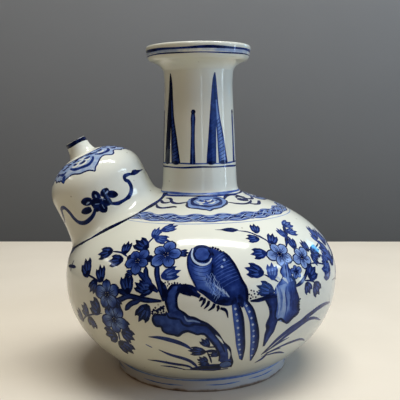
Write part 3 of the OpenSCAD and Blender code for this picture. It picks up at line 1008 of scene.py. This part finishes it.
def bird(p):
    """Long-tailed bird seen from behind: ringed head, scratched breast, hatched wing, two tail feathers."""
    breast = [
        (-3.5, 95.5), (-5, 90.5), (-5, 85.5), (-4, 80.5), (-2.5, 76), (-1, 72), (1, 70), (3, 67.5),
        (5, 65.5), (7.5, 64.5), (10.5, 64.5),
    ]
    back = [
        (8.2, 93), (10.4, 91), (12.5, 86), (13.8, 81.5), (14.8, 76.5), (16, 72.5), (16.4, 68.5),
        (16.2, 64.5),
    ]
    wing = [(4.5, 95.5), (4.5, 86), (4.2, 80), (5, 75.5), (7.5, 73), (10, 68.5), (11.5, 64.5)]
    p.wash(breast, wing, (0.8, 0.62, 0.5, 0.56, 0.8), 5)
    p.wash(wing, back, (0.84, 0.74, 0.76, 0.88), 5)
    p.brush(back, [0.5, 0.8, 0.6, 0.9, 0.6], 1.0, 6)
    p.brush(breast, [0.4, 0.55, 0.4, 0.6, 0.5], 0.92, 6)
    p.brush(wing[1:4], [0.4, 1.0, 1.1, 0.4], 0.93, 5.5)
    for k in range(10):
        level = 88.5 - 1.7 * k
        start = np.interp(level, [72, 75, 78, 90], [8.6, 6.6, 5.6, 5.4])
        stop = np.interp(level + 4, [66, 72, 81, 86, 91], [15.6, 15.2, 13.2, 11.9, 9.6])
        p.line([(start, level), ((start + stop) / 2, level + 2.4), (stop, level + 4)], 0.2, 0.64, 6)
    for at in ((9.2, 87.8), (8, 84)):
        p.dot(at, 0.75, 0.3, 7)
    belly = [(-0.6, 72.6), (2.6, 69.2), (5.6, 66.9), (9, 65.8), (12.5, 66)]
    p.brush(belly, [0.4, 1.5, 2.3, 2.4, 1.8], 0.92, 5.6)
    for k in range(44):
        along, aside = k / 43, np.sin(2.6 * k)
        at = (2.5 + 4.4 * along + 1.6 * aside, 79.4 - 11 * along + 1.1 * aside)
        lean = (0.4, 1.2) if k % 3 else (-0.4, 1.0)
        p.line([(at[0] - lean[0], at[1] - lean[1]), (at[0] + lean[0], at[1] + lean[1])], 0.11, 0.4, 6.5)
        p.line([(at[0] + 0.5, at[1] + 0.9), (at[0] + 0.9, at[1] - 0.8)], 0.16, 0.88, 6)
    p.wash(
        [(4.8, 74.8), (6.6, 73), (8.3, 71.8), (10, 68)],
        [(4.8, 74.3), (6.2, 71.8), (8, 70), (9.6, 68)],
        (0.32, 0.18, 0.34),
        6,
    )
    for k in range(4):
        level = 86 - 2.1 * k
        barb = [(-4.4 + 0.2 * k, level), (-1.5, level - 2.2), (1.6, level - 2.6), (3.8, level - 1)]
        p.line(barb, 0.16, 0.82, 6)
    disc(p, (0.4, 91), 6.6, 0.88, 6)
    crescent = [(-3.2, 95.2), (-3.6, 91.2), (-2.6, 87.8), (-0.6, 85.8), (1.5, 85.4), (3.4, 86.8), (4.3, 89.2)]
    p.brush(crescent, [0.3, 0.55, 0.6, 0.6, 0.45, 0.2], 0.16, 7, 0)
    disc(p, (0.6, 91.4), 4.8, 0.92, 7)
    disc(p, (0.6, 91.8), 4.0, 0.66, 7.5)
    dots(p, [
        (4, 95.4), (5.2, 95.6), (6.3, 95.1), (7.3, 94.4), (8.2, 93.3), (9.3, 92.3), (10.2, 91.3),
        (11, 89.8),
    ], 0.8, 6)
    p.brush([(13.4, 69), (14, 66), (14.6, 62)], [0.8, 2.0, 1.6, 0.5], 0.9, 6)
    for path in (
        [(0.2, 68.6), (0, 67.4), (-0.8, 66.4)],
        [(1.2, 68), (0.9, 65.8), (-0.2, 63.4)],
        [(2.7, 66.6), (2.2, 64.4), (0.9, 62.3)],
        [(4.6, 65), (4, 63), (2.4, 61.3)],
        [(5.6, 64), (5.9, 62.4), (5.4, 60.8)],
        [(6.6, 62.4), (8.6, 61), (9.3, 57)],
    ):
        p.brush(path, [0.6, 0.9, 0.8, 0.55, 0.25], 1.0, 5)
    feathers = (
        (
            [(11, 64), (11.5, 56.5), (12.5, 47), (13.5, 39), (16, 28)],
            [(13.5, 65), (15, 57.5), (16, 46.5), (17, 37), (17.5, 26.5)],
        ),
        (
            [(14.3, 66), (16, 60.5), (17.5, 54.5), (18.2, 48.5), (18.8, 42.5), (19.8, 33), (21.5, 24.5)],
            [(16.5, 66), (19, 60.5), (20.2, 54.5), (21.5, 47.5), (22.2, 41.5), (22.6, 34), (22, 24.5)],
        ),
    )
    for left, right in feathers:
        left, right = np.array(left) - (0.4, 0), np.array(right) - (0.5, 0)
        p.wash(left, right, (0.62, 0.46, 0.66, 0.9, 0.92), 5)
        p.brush(right, [0.4, 0.7, 0.6, 0.4], 1.0, 6)
        for at in spline(0.6 * left + 0.4 * right, 11)[1:-1]:
            p.dot(at, 0.68, 0.2, 7)


def grasses(p):
    """Long grass blades on each side of the rocks."""
    for path, half in (
        ([(-20, 45), (-15.5, 45), (-10.5, 43.5), (-6.5, 41), (-3.5, 37.5)], 1.4),
        ([(-17, 36.5), (-12.5, 33), (-7, 30), (-4, 26.5), (-1.5, 19.5)], 1.3),
        ([(-24, 26), (-18.5, 26), (-12, 24.5), (-6.5, 23), (-3.5, 19)], 1.3),
        ([(-19, 21), (-13.5, 21), (-7.5, 18.5)], 0.9),
        ([
            (25.5, 29), (28.5, 35.5), (31.5, 40.3), (36, 44.5), (41, 47), (45, 49.6), (52, 52),
            (59, 52), (66, 50),
        ], 1.7),
        ([(26.5, 29.5), (30, 34.5), (34.5, 40), (39, 43.5), (45.5, 47), (51, 46), (58.5, 41.5)], 1.2),
        ([(25.5, 28.5), (28.5, 32.5), (33, 36.5), (37, 38.5)], 0.7),
        ([(27.5, 29.5), (33, 32), (38, 33.5), (44, 33.5), (48, 32), (53, 28.5)], 1.0),
        ([(26, 27), (32, 27.5), (36, 26.5), (40, 24)], 0.9),
        ([(24.5, 21), (27, 24), (28.5, 29)], 1.0),
        ([(27, 28), (31, 30.5), (35, 31)], 0.7),
    ):
        p.brush(path, half * np.array((0.15, 0.7, 1.0, 1.0, 0.8, 0.3)), (0.9, 0.8, 0.85, 0.75), 3)
    p.line([(-22, 39.5), (-19.5, 37.5)], 0.35, 0.6)


def shoulder_band(p):
    """Band of rolling waves round the shoulder, with a thin line under it and two rings at the neck."""
    angle = np.linspace(-180, 180, 481)[:, None]
    swell = np.cos(np.radians(20 * (angle - 15)))
    chop = np.sin(np.radians(40 * angle))
    rise = np.linspace(0, 1, 7)
    water = (115.8 + 0.5 * swell) * (1 - rise) + (123.0 + 0.9 * swell) * rise
    p.film(angle, water, spread((0.46, 0.4, 0.22), 7), 1)
    for height, sway, half, ink, layer in (
        (121.4, 1.3 * swell + 0.5 * chop, 1.0, 0.68, 2),
        (118.4, -0.9 * swell + 0.5 * chop, 1.1, 0.82, 2),
        (123.2, 1.0 * swell, 0.2, 0.5, 3),
        (116.2, 0.6 * swell, 0.3, 0.75, 3),
        (120.2, 1.9 * swell, 0.22, 0.24, 4),
        (120, -1.9 * swell + 0.5 * chop, 0.22, 0.24, 4),
        (117.3, 0.8 * chop, 0.2, 0.2, 4),
    ):
        side = np.linspace(-1, 1, 3)
        p.film(angle, height + sway + half * side, ink - 0.06 * side**2, layer)
    for k in range(36):
        start, lift = -180 + 10 * k + 1.5 * np.sin(2.3 * k), 0.5 * np.sin(3.1 * k)
        high_crest = [(start, 119.4 + lift), (start + 2.5, 121.4), (start + 6, 122 + lift)]
        low_crest = [(start + 4, 116.8), (start + 6.5, 118.4 + lift), (start + 10, 118.7)]
        for crest in (high_crest, low_crest):
            p.brush(crest, [0.2, 0.7, 0.6, 0.1], 0.92, 3)
    p.ring(113.8, 0.25, 0.35, 2)
    p.ring(146.3, 0.75, 0.8, 2, wobble=0.15)
    p.ring(148.2, 0.8, 0.5, 2, wobble=0.1)


def medallion(p):
    """Cloud-shaped panel on the shoulder with a dark scrolled ring in it, and tendrils on both sides."""
    edge = [
        (-14, 140), (-12.5, 137), (-12, 134.5), (-9.5, 132), (-6, 131), (-2, 130.5), (2, 129.5),
        (5, 128.8), (7.5, 127.6), (10, 129.5), (14, 130.3), (18, 131.5), (21, 133.3), (25, 135.5),
        (28, 138), (29.5, 140.5),
    ]
    top = [(-13, 142.5), (-8, 144.6), (0, 145.6), (8, 145.8), (16, 145.6), (24, 144.6), (29, 142.8)]
    ring = [
        (-2, 143.9), (-7, 143.2), (-8.6, 140.5), (-6.5, 137), (-2, 135), (3, 134), (8, 133.3),
        (14, 134.5), (19.5, 136.8), (22.5, 140), (21, 142.8), (16, 143.9),
    ]
    p.wash(edge, top, (0.3, 0.36, 0.28, 0.36), 2)
    p.brush(edge, [0.4, 0.8, 0.5, 0.8, 0.5, 0.8, 0.5, 0.8, 0.4], 0.92, 3)
    p.brush(top, [0.3, 0.4, 0.3], 0.8, 3)
    p.brush(ring, [0.4, 1.5, 0.8, 1.6, 0.9, 1.7, 0.9, 1.6, 0.8, 1.5, 0.5], 0.85, 4)
    disc(p, (7, 139.6), 3.6, 0.55, 3)
    for curl in (
        [(-4, 141), (-1, 139), (3, 138.6), (5, 139.8)],
        [(4, 142), (8, 140.4), (12, 141.2), (13, 142.6)],
        [(8, 137.4), (12, 137.6), (16, 139.6)],
        [(-1, 137), (3, 136.4)],
    ):
        p.brush(curl, [0.2, 0.6, 0.6, 0.2], 0.0, 5, 0)
    for at, radius in (
        ((5.6, 140.4), 1.1), ((13.6, 140.6), 0.9), ((0.5, 141.6), 0.9), ((9.8, 139), 0.7),
        ((18, 141), 0.8),
    ):
        p.dot(at, radius, 0.85, 5)
    for path in (
        [(29, 137.6), (34, 135.5), (39, 133.8), (45, 133), (52, 133.8), (60, 136)],
        [(28, 141.5), (31, 143.5), (35, 145.2), (42, 146), (50, 145.3), (56, 143.6), (60, 141)],
        [(46, 142.2), (48, 140.6), (53, 139), (58, 139.4), (61, 142)],
        [
            (-14, 139.5), (-17, 138.4), (-22, 137.2), (-27, 137.7), (-31, 139.3), (-34, 141.5),
            (-38, 143), (-44, 143),
        ],
        [(-31, 139), (-36, 137), (-41, 137.6), (-46, 140)],
        [(-20, 132), (-23, 132.5), (-28, 131), (-33, 130), (-38, 131), (-43, 134)],
    ):
        p.brush(path, [0.45, 1.0, 1.15, 0.95, 1.0, 0.45], 0.9, 3)


def neck_lappets(p):
    """Five tall split leaves round the neck, one darker and one paler than the rest, with a short stroke
    between each two, on a double ring."""
    levels = (129.3, 133, 140, 147, 157, 167, 178, 183)
    tall = [p.skin.way_at(z) for z in levels]
    left_out = np.array((-15.5, -14.8, -13, -11.4, -9, -6.4, -3.2, -0.3))
    left_in = np.array((-1.8, -1.6, -1.2, -0.7, -0.1, 0.2, 0.2, 0))
    right_in = np.array((4.4, 4.1, 3.4, 2.6, 0.9, -0.1, -0.2, 0))
    right_out = np.array((20.5, 18.8, 15.6, 12.4, 7.2, 4.6, 2.4, 0.3))
    for centre, deep in ((-51.5, 0.2), (27, -0.1), (97.5, 0), (168, 0), (238.5, 0)):
        for first, second, tone in (
            (left_out, left_in, (0.95, 0.8, 0.92)),
            (right_in, right_out, (0.7, 0.44, 0.7)),
        ):
            a, b = (np.stack([centre + edge, tall], -1) for edge in (first, second))
            p.wash(a, b, deep + np.array(tone), 2)
            for edge in (a, b):
                p.brush(edge, [0.35, 0.45, 0.4, 0.35, 0.25], 0.94 + deep, 3)
            for z in np.arange(132, 156, 2.1):
                way = p.skin.way_at(z)
                ends = [np.interp(z, levels, edge) for edge in (first, second)]
                p.line([(centre + ends[0], way - 1), (centre + ends[1], way + 1.4)], 0.22, 0.98 + deep, 3)
            foot_way = tall[0] + 0.4
            p.brush([(centre + first[0], foot_way), (centre + second[0], foot_way)], 1.3 * ROUND, 0.95, 3)
        p.brush([(centre, tall[5]), (centre + 0.1, tall[7])], [1.2, 0.9, 0.5, 0.3], 0.95 + deep, 3)
        rise = ((0, 128.8), (0.3, 140), (0.8, 151), (1.2, 160.5))
        stroke = [(centre + 41.2 + aside, p.skin.way_at(z)) for aside, z in rise]
        p.brush(stroke, [1.75, 1.5, 1.3, 1.2, 1.2, 1.45, 0.9], 0.92, 2)
        p.line(stroke, 0.55, 0.66, 3)
        disc(p, (stroke[-1][0] + 0.3, stroke[-1][1] - 0.6), 1.45, 0.95, 3)
    p.ring(p.skin.way_at(129.2), 0.4, 0.6, 2, wobble=0.15)
    p.ring(p.skin.way_at(127), 0.5, 0.82, 2, wobble=0.2)


def rim_lines(p):
    """A heavy and a fine line round the mouth's band, and a line at the foot."""
    p.ring(p.skin.way_at(195.2), 1.3, 0.14, 1, wobble=0.1)
    p.ring(p.skin.way_at(196.5), 0.75, 0.86, 2, wobble=0.2)
    p.ring(p.skin.way_at(193.7), 0.36, 0.82, 2, wobble=0.1)
    p.ring(1.4, 0.35, 0.55, 2, wobble=0.1)


def spout_collar(p):
    """Cloud collar on the spout's dome: lobed lower edge, pale wash, dark scrolls in it and white curls."""
    for turn in (0, 120, 240):
        p.turn = turn
        lobes = (
            [(-45, 33.5), (-42, 32.4), (-37, 32.6), (-34, 31.2), (-31, 29.8)],
            [
                (-31, 29.8), (-28.5, 31.4), (-24, 32.2), (-18, 32.8), (-12, 32.4), (-5, 30.8),
                (3, 30.4), (9, 29.6), (14, 27.4),
            ],
            [
                (14, 27.4), (17, 29.8), (21, 31.2), (26, 33), (31, 34.6), (38, 35.2), (44, 33.6),
                (48, 32.6), (53, 33.2),
            ],
            [(53, 33.2), (57, 35), (62, 35.4), (67, 34), (71, 32.8), (75, 33.5)],
        )
        for edge in lobes:
            top = [(a, 46.8) for a, _ in edge]
            p.wash(edge, top, (0.24, 0.17, 0.26, 0.3, 0.2), 1)
            p.brush(edge, [0.4, 0.5, 0.45, 0.5, 0.45], 0.9, 2)
        for path in (
            [(-20, 38.6), (-14, 36.6), (-7, 35.2), (1, 34.6), (9, 34), (15, 34.8), (21, 37), (24, 39.4)],
            [(30, 40.5), (36, 38.4), (43, 37.6), (50, 37.4), (57, 38.6), (62, 40.4)],
            [(64, 39), (69, 37.6), (75, 38)],
            [(-45, 37.8), (-39, 37), (-33, 36.2), (-28, 37.6)],
        ):
            p.brush(path, [0.5, 1.1, 1.0, 1.2, 1.0, 0.5], 0.8, 3)
        p.brush([(-31.5, 35), (-31.2, 32.5), (-31, 30.2)], [1.2, 1.6, 1.3, 0.3], 0.72, 3)
        for path in (
            [(-16, 39.4), (-11, 38), (-5, 38.4), (-3, 39.6)],
            [(-4, 37.2), (2, 36.4), (8, 36.8), (11, 38)],
            [(-9, 41.4), (-3, 40.4), (4, 40.6), (7, 41.8)],
            [(9, 40), (14, 38.6), (19, 39.4)],
            [(-1, 43.2), (6, 42.6), (13, 43)],
            [(36, 40.6), (43, 39.6), (50, 40.4)],
        ):
            p.brush(path, [0.25, 0.6, 0.65, 0.25], 0.0, 5, 0)
        for path in (
            [(-14, 41), (-9, 40), (-3, 42.2)],
            [(-1, 38.4), (5, 38.4), (10, 39.4)],
            [(9, 41.8), (15, 40.8), (21, 41.2)],
            [(-18, 44), (-10, 43.8), (-2, 45)],
            [(14, 44.8), (22, 44.2), (30, 45)],
            [(38, 43), (46, 42.4), (54, 43.4)],
            [(60, 44), (67, 43.4), (74, 44)],
            [(-44, 41), (-36, 40.4), (-30, 41.6), (-24, 41)],
            [(-34, 44.4), (-26, 43.4), (-19, 42.4)],
            [(24, 42.4), (29, 43.2), (36, 41.4)],
            [(-12, 45.2), (-4, 46), (4, 45.2), (12, 46)],
            [(46, 45.4), (54, 45.9), (62, 45.6)],
        ):
            p.brush(path, [0.3, 0.9, 0.95, 0.3], 0.86, 4)
    p.turn = 0
    p.ring(46.2, 0.5, 0.82, 4, wobble=0.1)


def spout_emblem(p):
    """Knotted emblem on the spout's side, with ribbons that wave out to the left and right."""
    for turn in (0, 180):
        p.turn = turn
        for path in (
            [
                (-3.2, 9.1), (-11.8, 4.6), (-24, 2.8), (-33, 4.4), (-37.7, 7.9), (-40.3, 12.7),
                (-45, 16.3), (-52.9, 15.9), (-58, 11.8), (-64, 8.5), (-76, 8),
            ],
            [
                (11, 6.5), (19, 4.2), (28.2, 3.6), (37, 5.3), (42.8, 8.6), (43.2, 12.4), (40.4, 14.2),
                (41.4, 16.2), (46.8, 16.4), (53.4, 15.4),
            ],
        ):
            p.brush(path, [0.8, 1.4, 1.25, 1.35, 1.15, 1.2, 0.7], 0.88, 2)
        p.brush([(51, 15.4), (58, 15.6), (66, 15), (80, 14.5)], [0.5, 1.7, 1.5, 0.6, 0.15], 0.9, 2)
        for start, stop, half in (
            ((-5, 12.5), (-17.5, 14.6), 2.2), ((-10, 8.5), (-23.5, 9), 1.8),
            ((1.5, 11), (1.5, 17.4), 2.2), ((8, 11.5), (17, 15), 2.3), ((14, 12), (24, 8.6), 1.9),
            ((6, 10), (13.5, 6), 2.3), ((1, 8.5), (3.5, 2.8), 2.4), ((-8, 10), (6, 11), 2.6),
            ((-3, 8), (-6, 5.4), 1.6),
        ):
            p.brush([start, stop], half * np.array((0.7, 1.1, 1.2, 1.15, 0.9, 0.25)), 0.95, 3)
        for start, stop in (((-8, 12.6), (-13, 12.2)), ((12, 12.6), (16.4, 13.4)), ((1.4, 13), (1.4, 15))):
            p.brush([start, stop], [0.15, 0.5, 0.45, 0.15], 0.3, 4)
        for start, stop in (((-4, 10), (1, 9)), ((4, 11.8), (9, 9.6)), ((3, 8), (3.4, 5))):
            p.line([start, stop], 0.22, 0.4, 4)
    p.turn = 0


def foot_streaks(p):
    """Pale blue line at the top of the foot, and broken streaks where the brush slid along its side."""
    p.ring(p.skin.way_at(FOOT_H - 0.7), 0.5, 0.4, 2, wobble=0.1)
    for start, stop, height in (
        (2, 24, 4.2), (-40, -12, 3.6), (30, 52, 4.6), (70, 96, 3.8), (110, 150, 4.4), (190, 240, 4),
        (262, 300, 3.6),
    ):
        way = p.skin.way_at(height)
        middle = (start + stop) / 2
        streak = [(start, way + 0.3), (middle, way), (stop, way + 0.4)]
        p.brush(streak, [0.1, 0.4, 0.25, 0.45, 0.1], (0.35, 0.55, 0.35), 2)


class FilletSkin:
    """The fillet round the spout's foot, as angle about the spout and way up from the shoulder."""

    long = 2 * FILLET

    def scale(self, way):
        """Millimetres to a degree of turn."""
        return np.full(np.shape(way), np.radians(BULB_R))

    def place(self, angle, way):
        """Points of the quadratic curve through the fillet's foot, drawn towards its corner, to its top."""
        t = (way / self.long)[..., None]
        rings = []
        for ring in (fillet_foot, fillet_mid, fillet_top):
            axes = [np.interp(angle, np.degrees(bulb_turn), ring[:, k], period=360) for k in range(3)]
            rings.append(np.stack(axes, -1))
        return (1 - t) ** 2 * rings[0] + 2 * t * (1 - t) * rings[1] + t**2 * rings[2]

    def at(self, angle, way):
        """Points on the fillet and the directions out of it."""
        around = self.place(angle + 0.5, way) - self.place(angle - 0.5, way)
        along = self.place(angle, way + 0.05) - self.place(angle, way - 0.05)
        normal = np.cross(around, along)
        return self.place(angle, way), normal / np.linalg.norm(normal, axis=-1, keepdims=True)


def spout_foot_line(p):
    """Dark, uneven line round the foot of the spout, heavier on the left, with small knots."""
    p.ring(1.0, 0.75, 0.96, 2, wobble=0.3)
    p.brush([(-84, 1.2), (-62, 1.4), (-40, 1.2), (-16, 1.0)], [0.8, 1.3, 1.2, 0.9, 0.5], 1.0, 2.5)
    for angle in (-72, -34, 6, 44, 110, 160, 205, 250):
        p.brush([(angle - 4, 1.0), (angle, 1.0), (angle + 5, 1.1)], [0.4, 0.9, 0.5], 0.95, 3)


def nozzle_lip_band(p):
    """Dark band round the lip of the nozzle, a little paler across its middle as a painted gleam."""
    angle = np.linspace(-180, 180, 121)[:, None]
    start = p.skin.way_at(NOZZLE_H - 2.9) + 0.2 * np.sin(np.radians(3 * angle))
    rise = np.linspace(0, 1, 8)
    band = start * (1 - rise) + (p.skin.way[-1] - 0.05) * rise
    # The slightly lower ink across the band's middle is a painted gleam
    p.film(angle, band, spread((1.0, 1.0, 0.9, 1.0, 1.0), 8), 2)


def paint(name, skin, motif, turns=(0,)):
    """A painted piece: one motif, repeated at some turns of its skin."""
    painting = Painting(name, skin)
    for turn in turns:
        painting.turn = turn
        motif(painting)
    painting.finish()


for motif in (left_spray, right_spray, left_rock, right_rock, bird, grasses):
    paint("painted_" + motif.__name__, pot_skin, motif, (0, 180))
paint("painted_shoulder_clouds", pot_skin, medallion, (0, 90, 180))
paint("painted_shoulder_band", pot_skin, shoulder_band)
paint("painted_neck_lappets", pot_skin, neck_lappets)
paint("painted_rim_lines", pot_skin, rim_lines)
paint("painted_foot_streaks", foot_skin, foot_streaks)
paint("painted_spout_collar", bulb_skin, spout_collar)
paint("painted_spout_emblem", bulb_skin, spout_emblem)
paint("painted_spout_foot_line", FilletSkin(), spout_foot_line)
paint("painted_nozzle_lip", nozzle_skin, nozzle_lip_band)


# Room: pale floor and plain backdrop, both with painted shade, soft lights, camera
def stage_plane(name, corners, colour, worn, scale, shade, bounce=None):
    """A flat stage sheet with a faintly uneven colour, and painted shade that darkens it along an axis as
    shade
    gives: the axis, the place and share of its darkest part and the place of its full colour. It may throw a
    weaker colour back on the vessel than the one that is seen."""
    material, shader, add, feed = new_material(name)
    coords = add("ShaderNodeTexCoord").outputs["Object"]
    cloud = add("ShaderNodeTexNoise", [("Vector", coords), ("Scale", scale), ("Detail", 4.0)])
    tint = add("ShaderNodeValToRGB", [("Fac", cloud.outputs["Fac"])])
    ramp(tint, [(0.35, worn), (0.65, colour)])
    axis, dark_at, dark, full_at = shade
    along = add("ShaderNodeSeparateXYZ", [("Vector", coords)]).outputs[axis]
    # Painted shade: the colour is multiplied down towards the dark end of the axis
    painted_shade = add(
        "ShaderNodeMapRange",
        [("Value", along), ("From Min", dark_at), ("From Max", full_at), ("To Min", dark), ("To Max", 1.0)],
    )
    mixed = add(
        "ShaderNodeMix",
        [("Factor", 1.0), ("A", tint.outputs["Color"]), ("B", painted_shade.outputs["Result"])],
        data_type="RGBA",
        blend_type="MULTIPLY",
    )
    if bounce:
        rays = add("ShaderNodeLightPath").outputs
        seen = rays["Is Camera Ray"]
        for other in ("Is Glossy Ray", "Is Transmission Ray"):
            seen = add("ShaderNodeMath", [(0, seen), (1, rays[other])], operation="MAXIMUM").outputs[0]
        mixed = add(
            "ShaderNodeMix",
            [("Factor", seen), ("A", (*bounce, 1.0)), ("B", mixed.outputs["Result"])],
            data_type="RGBA",
        )
    feed("Base Color", mixed.outputs["Result"])
    shader.inputs["Roughness"].default_value = 0.7
    mesh = bpy.data.meshes.new(name)
    mesh.from_pydata(corners, [], [(0, 1, 2, 3)])
    mesh.materials.append(material)
    sheet = bpy.data.objects.new(name, mesh)
    bpy.context.scene.collection.objects.link(sheet)


WALL_LEFT, WALL_RIGHT = (-1.6, 0.516), (1.6, 0.292)
stage_plane(
    "floor",
    [(-1.6, -1.6, 0), (1.6, -1.6, 0), (*WALL_RIGHT, 0), (*WALL_LEFT, 0)],
    (0.75, 0.69, 0.59),
    (0.71, 0.65, 0.55),
    9.0,
    # Painted shade: the floor darkens towards the viewer, to 0.15 of its colour at y -0.3, full from y -0.07
    # back
    ("Y", -0.3, 0.15, -0.07),
    bounce=(0.42, 0.365, 0.27),
)
stage_plane(
    "backdrop",
    [(*WALL_LEFT, 0), (*WALL_RIGHT, 0), (*WALL_RIGHT, 1.4), (*WALL_LEFT, 1.4)],
    (0.245, 0.254, 0.264),
    (0.233, 0.242, 0.252),
    5.0,
    # Painted shade: the backdrop darkens towards the floor, to 0.4 of its colour at its foot, full from 0.3 m
    # up
    ("Z", 0.0, 0.4, 0.3),
)


def soft_light(name, place, aim, size, watts, colour, glossy=True, diffuse=True):
    """A rectangular area light at a place, facing the aim; it may be left out of gloss or of matt light."""
    light = bpy.data.lights.new(name, "AREA")
    light.shape = "RECTANGLE"
    light.size, light.size_y = size
    light.energy = watts
    light.color = colour
    lamp = bpy.data.objects.new(name, light)
    bpy.context.scene.collection.objects.link(lamp)
    lamp.visible_glossy = glossy
    lamp.visible_diffuse = diffuse
    away = np.array(place, float) - np.array(aim, float)
    away /= np.linalg.norm(away)
    across = np.cross((0.0, 0.0, 1.0), away) if abs(away[2]) < 0.99 else np.array((1.0, 0.0, 0.0))
    across /= np.linalg.norm(across)
    over = np.cross(away, across)
    lamp.matrix_world = Matrix(
        [(*row, spot) for row, spot in zip(np.stack([across, over, away], -1), place)] + [(0, 0, 0, 1)]
    )


COOL = (0.66, 0.86, 1.0)
CLEAR = (1.0, 0.99, 0.97)
matt_lights = (
    ("overhead_cloth", (0.25, -0.1, 1.8), (0.02, 0, 0), (1.3, 1.1), 36.0, (1.0, 0.985, 0.93)),
    ("right_window", (1.45, -0.65, 0.55), (0, 0, 0.1), (0.6, 0.8), 10.6, (0.5, 0.68, 1.0)),
    ("left_fill", (-0.4, -0.9, 0.75), (0, 0, 0.1), (0.6, 0.6), 1.4, (1.0, 0.74, 0.6)),
    ("wall_wash", (0.62, 0.12, 0.5), (0.5, 0.37, 0.35), (0.3, 0.3), 0.35, COOL),
)
gloss_strips = (
    ("overhead_strip", (0.13, -0.05, 0.95), (0.13, -0.05, 0), (0.62, 0.1), 6.0, CLEAR),
    ("right_panel", (0.85, -0.5, 0.2), (0, 0, 0.15), (0.7, 0.35), 1.6, (0.56, 0.82, 1.0)),
    ("right_strip", (0.9, -0.07, 0.165), (0, 0, 0.165), (0.07, 0.2), 0.45, COOL),
    ("front_strip", (0.16, -0.95, 0.32), (0, 0, 0.15), (0.03, 0.4), 0.32, COOL),
    ("far_strip", (0.52, 0.35, 0.28), (0.065, -0.04, 0.08), (0.055, 0.13), 0.28, (0.16, 0.6, 1.0)),
    ("spout_strip", (0.72, -0.2, 0.535), (-0.038, -0.022, 0.11), (0.42, 0.06), 1.0, COOL),
    ("left_bar", (-0.81, -0.01, 0.54), (-0.05, -0.06, 0.08), (0.28, 0.03), 0.3, CLEAR),
)
for light in matt_lights:
    soft_light(*light, glossy=False)
for light in gloss_strips:
    soft_light(*light, diffuse=False)

world = bpy.data.worlds.new("room")
world.use_nodes = True
background = next(node for node in world.node_tree.nodes if node.type == "BACKGROUND")
background.inputs["Color"].default_value = (0.33, 0.31, 0.28, 1.0)
background.inputs["Strength"].default_value = 0.1
bpy.context.scene.world = world

CAMERA_AT = (0.0, -0.4108, 0.15655)
CAMERA_PITCH = 0.126
CAMERA_ROLL = -0.013
CAMERA_LENS = 58.6
CAMERA_SENSOR = 36.0
camera_data = bpy.data.cameras.new("camera")
camera_data.lens = CAMERA_LENS
camera_data.sensor_width = CAMERA_SENSOR
camera = bpy.data.objects.new("camera", camera_data)
bpy.context.scene.collection.objects.link(camera)
camera.matrix_world = (
    Matrix.Translation(CAMERA_AT)
    @ Matrix.Rotation(np.pi / 2 - CAMERA_PITCH, 4, "X")
    @ Matrix.Rotation(CAMERA_ROLL, 4, "Z")
)
bpy.context.scene.camera = camera
bpy.context.scene.view_settings.view_transform = "Standard"
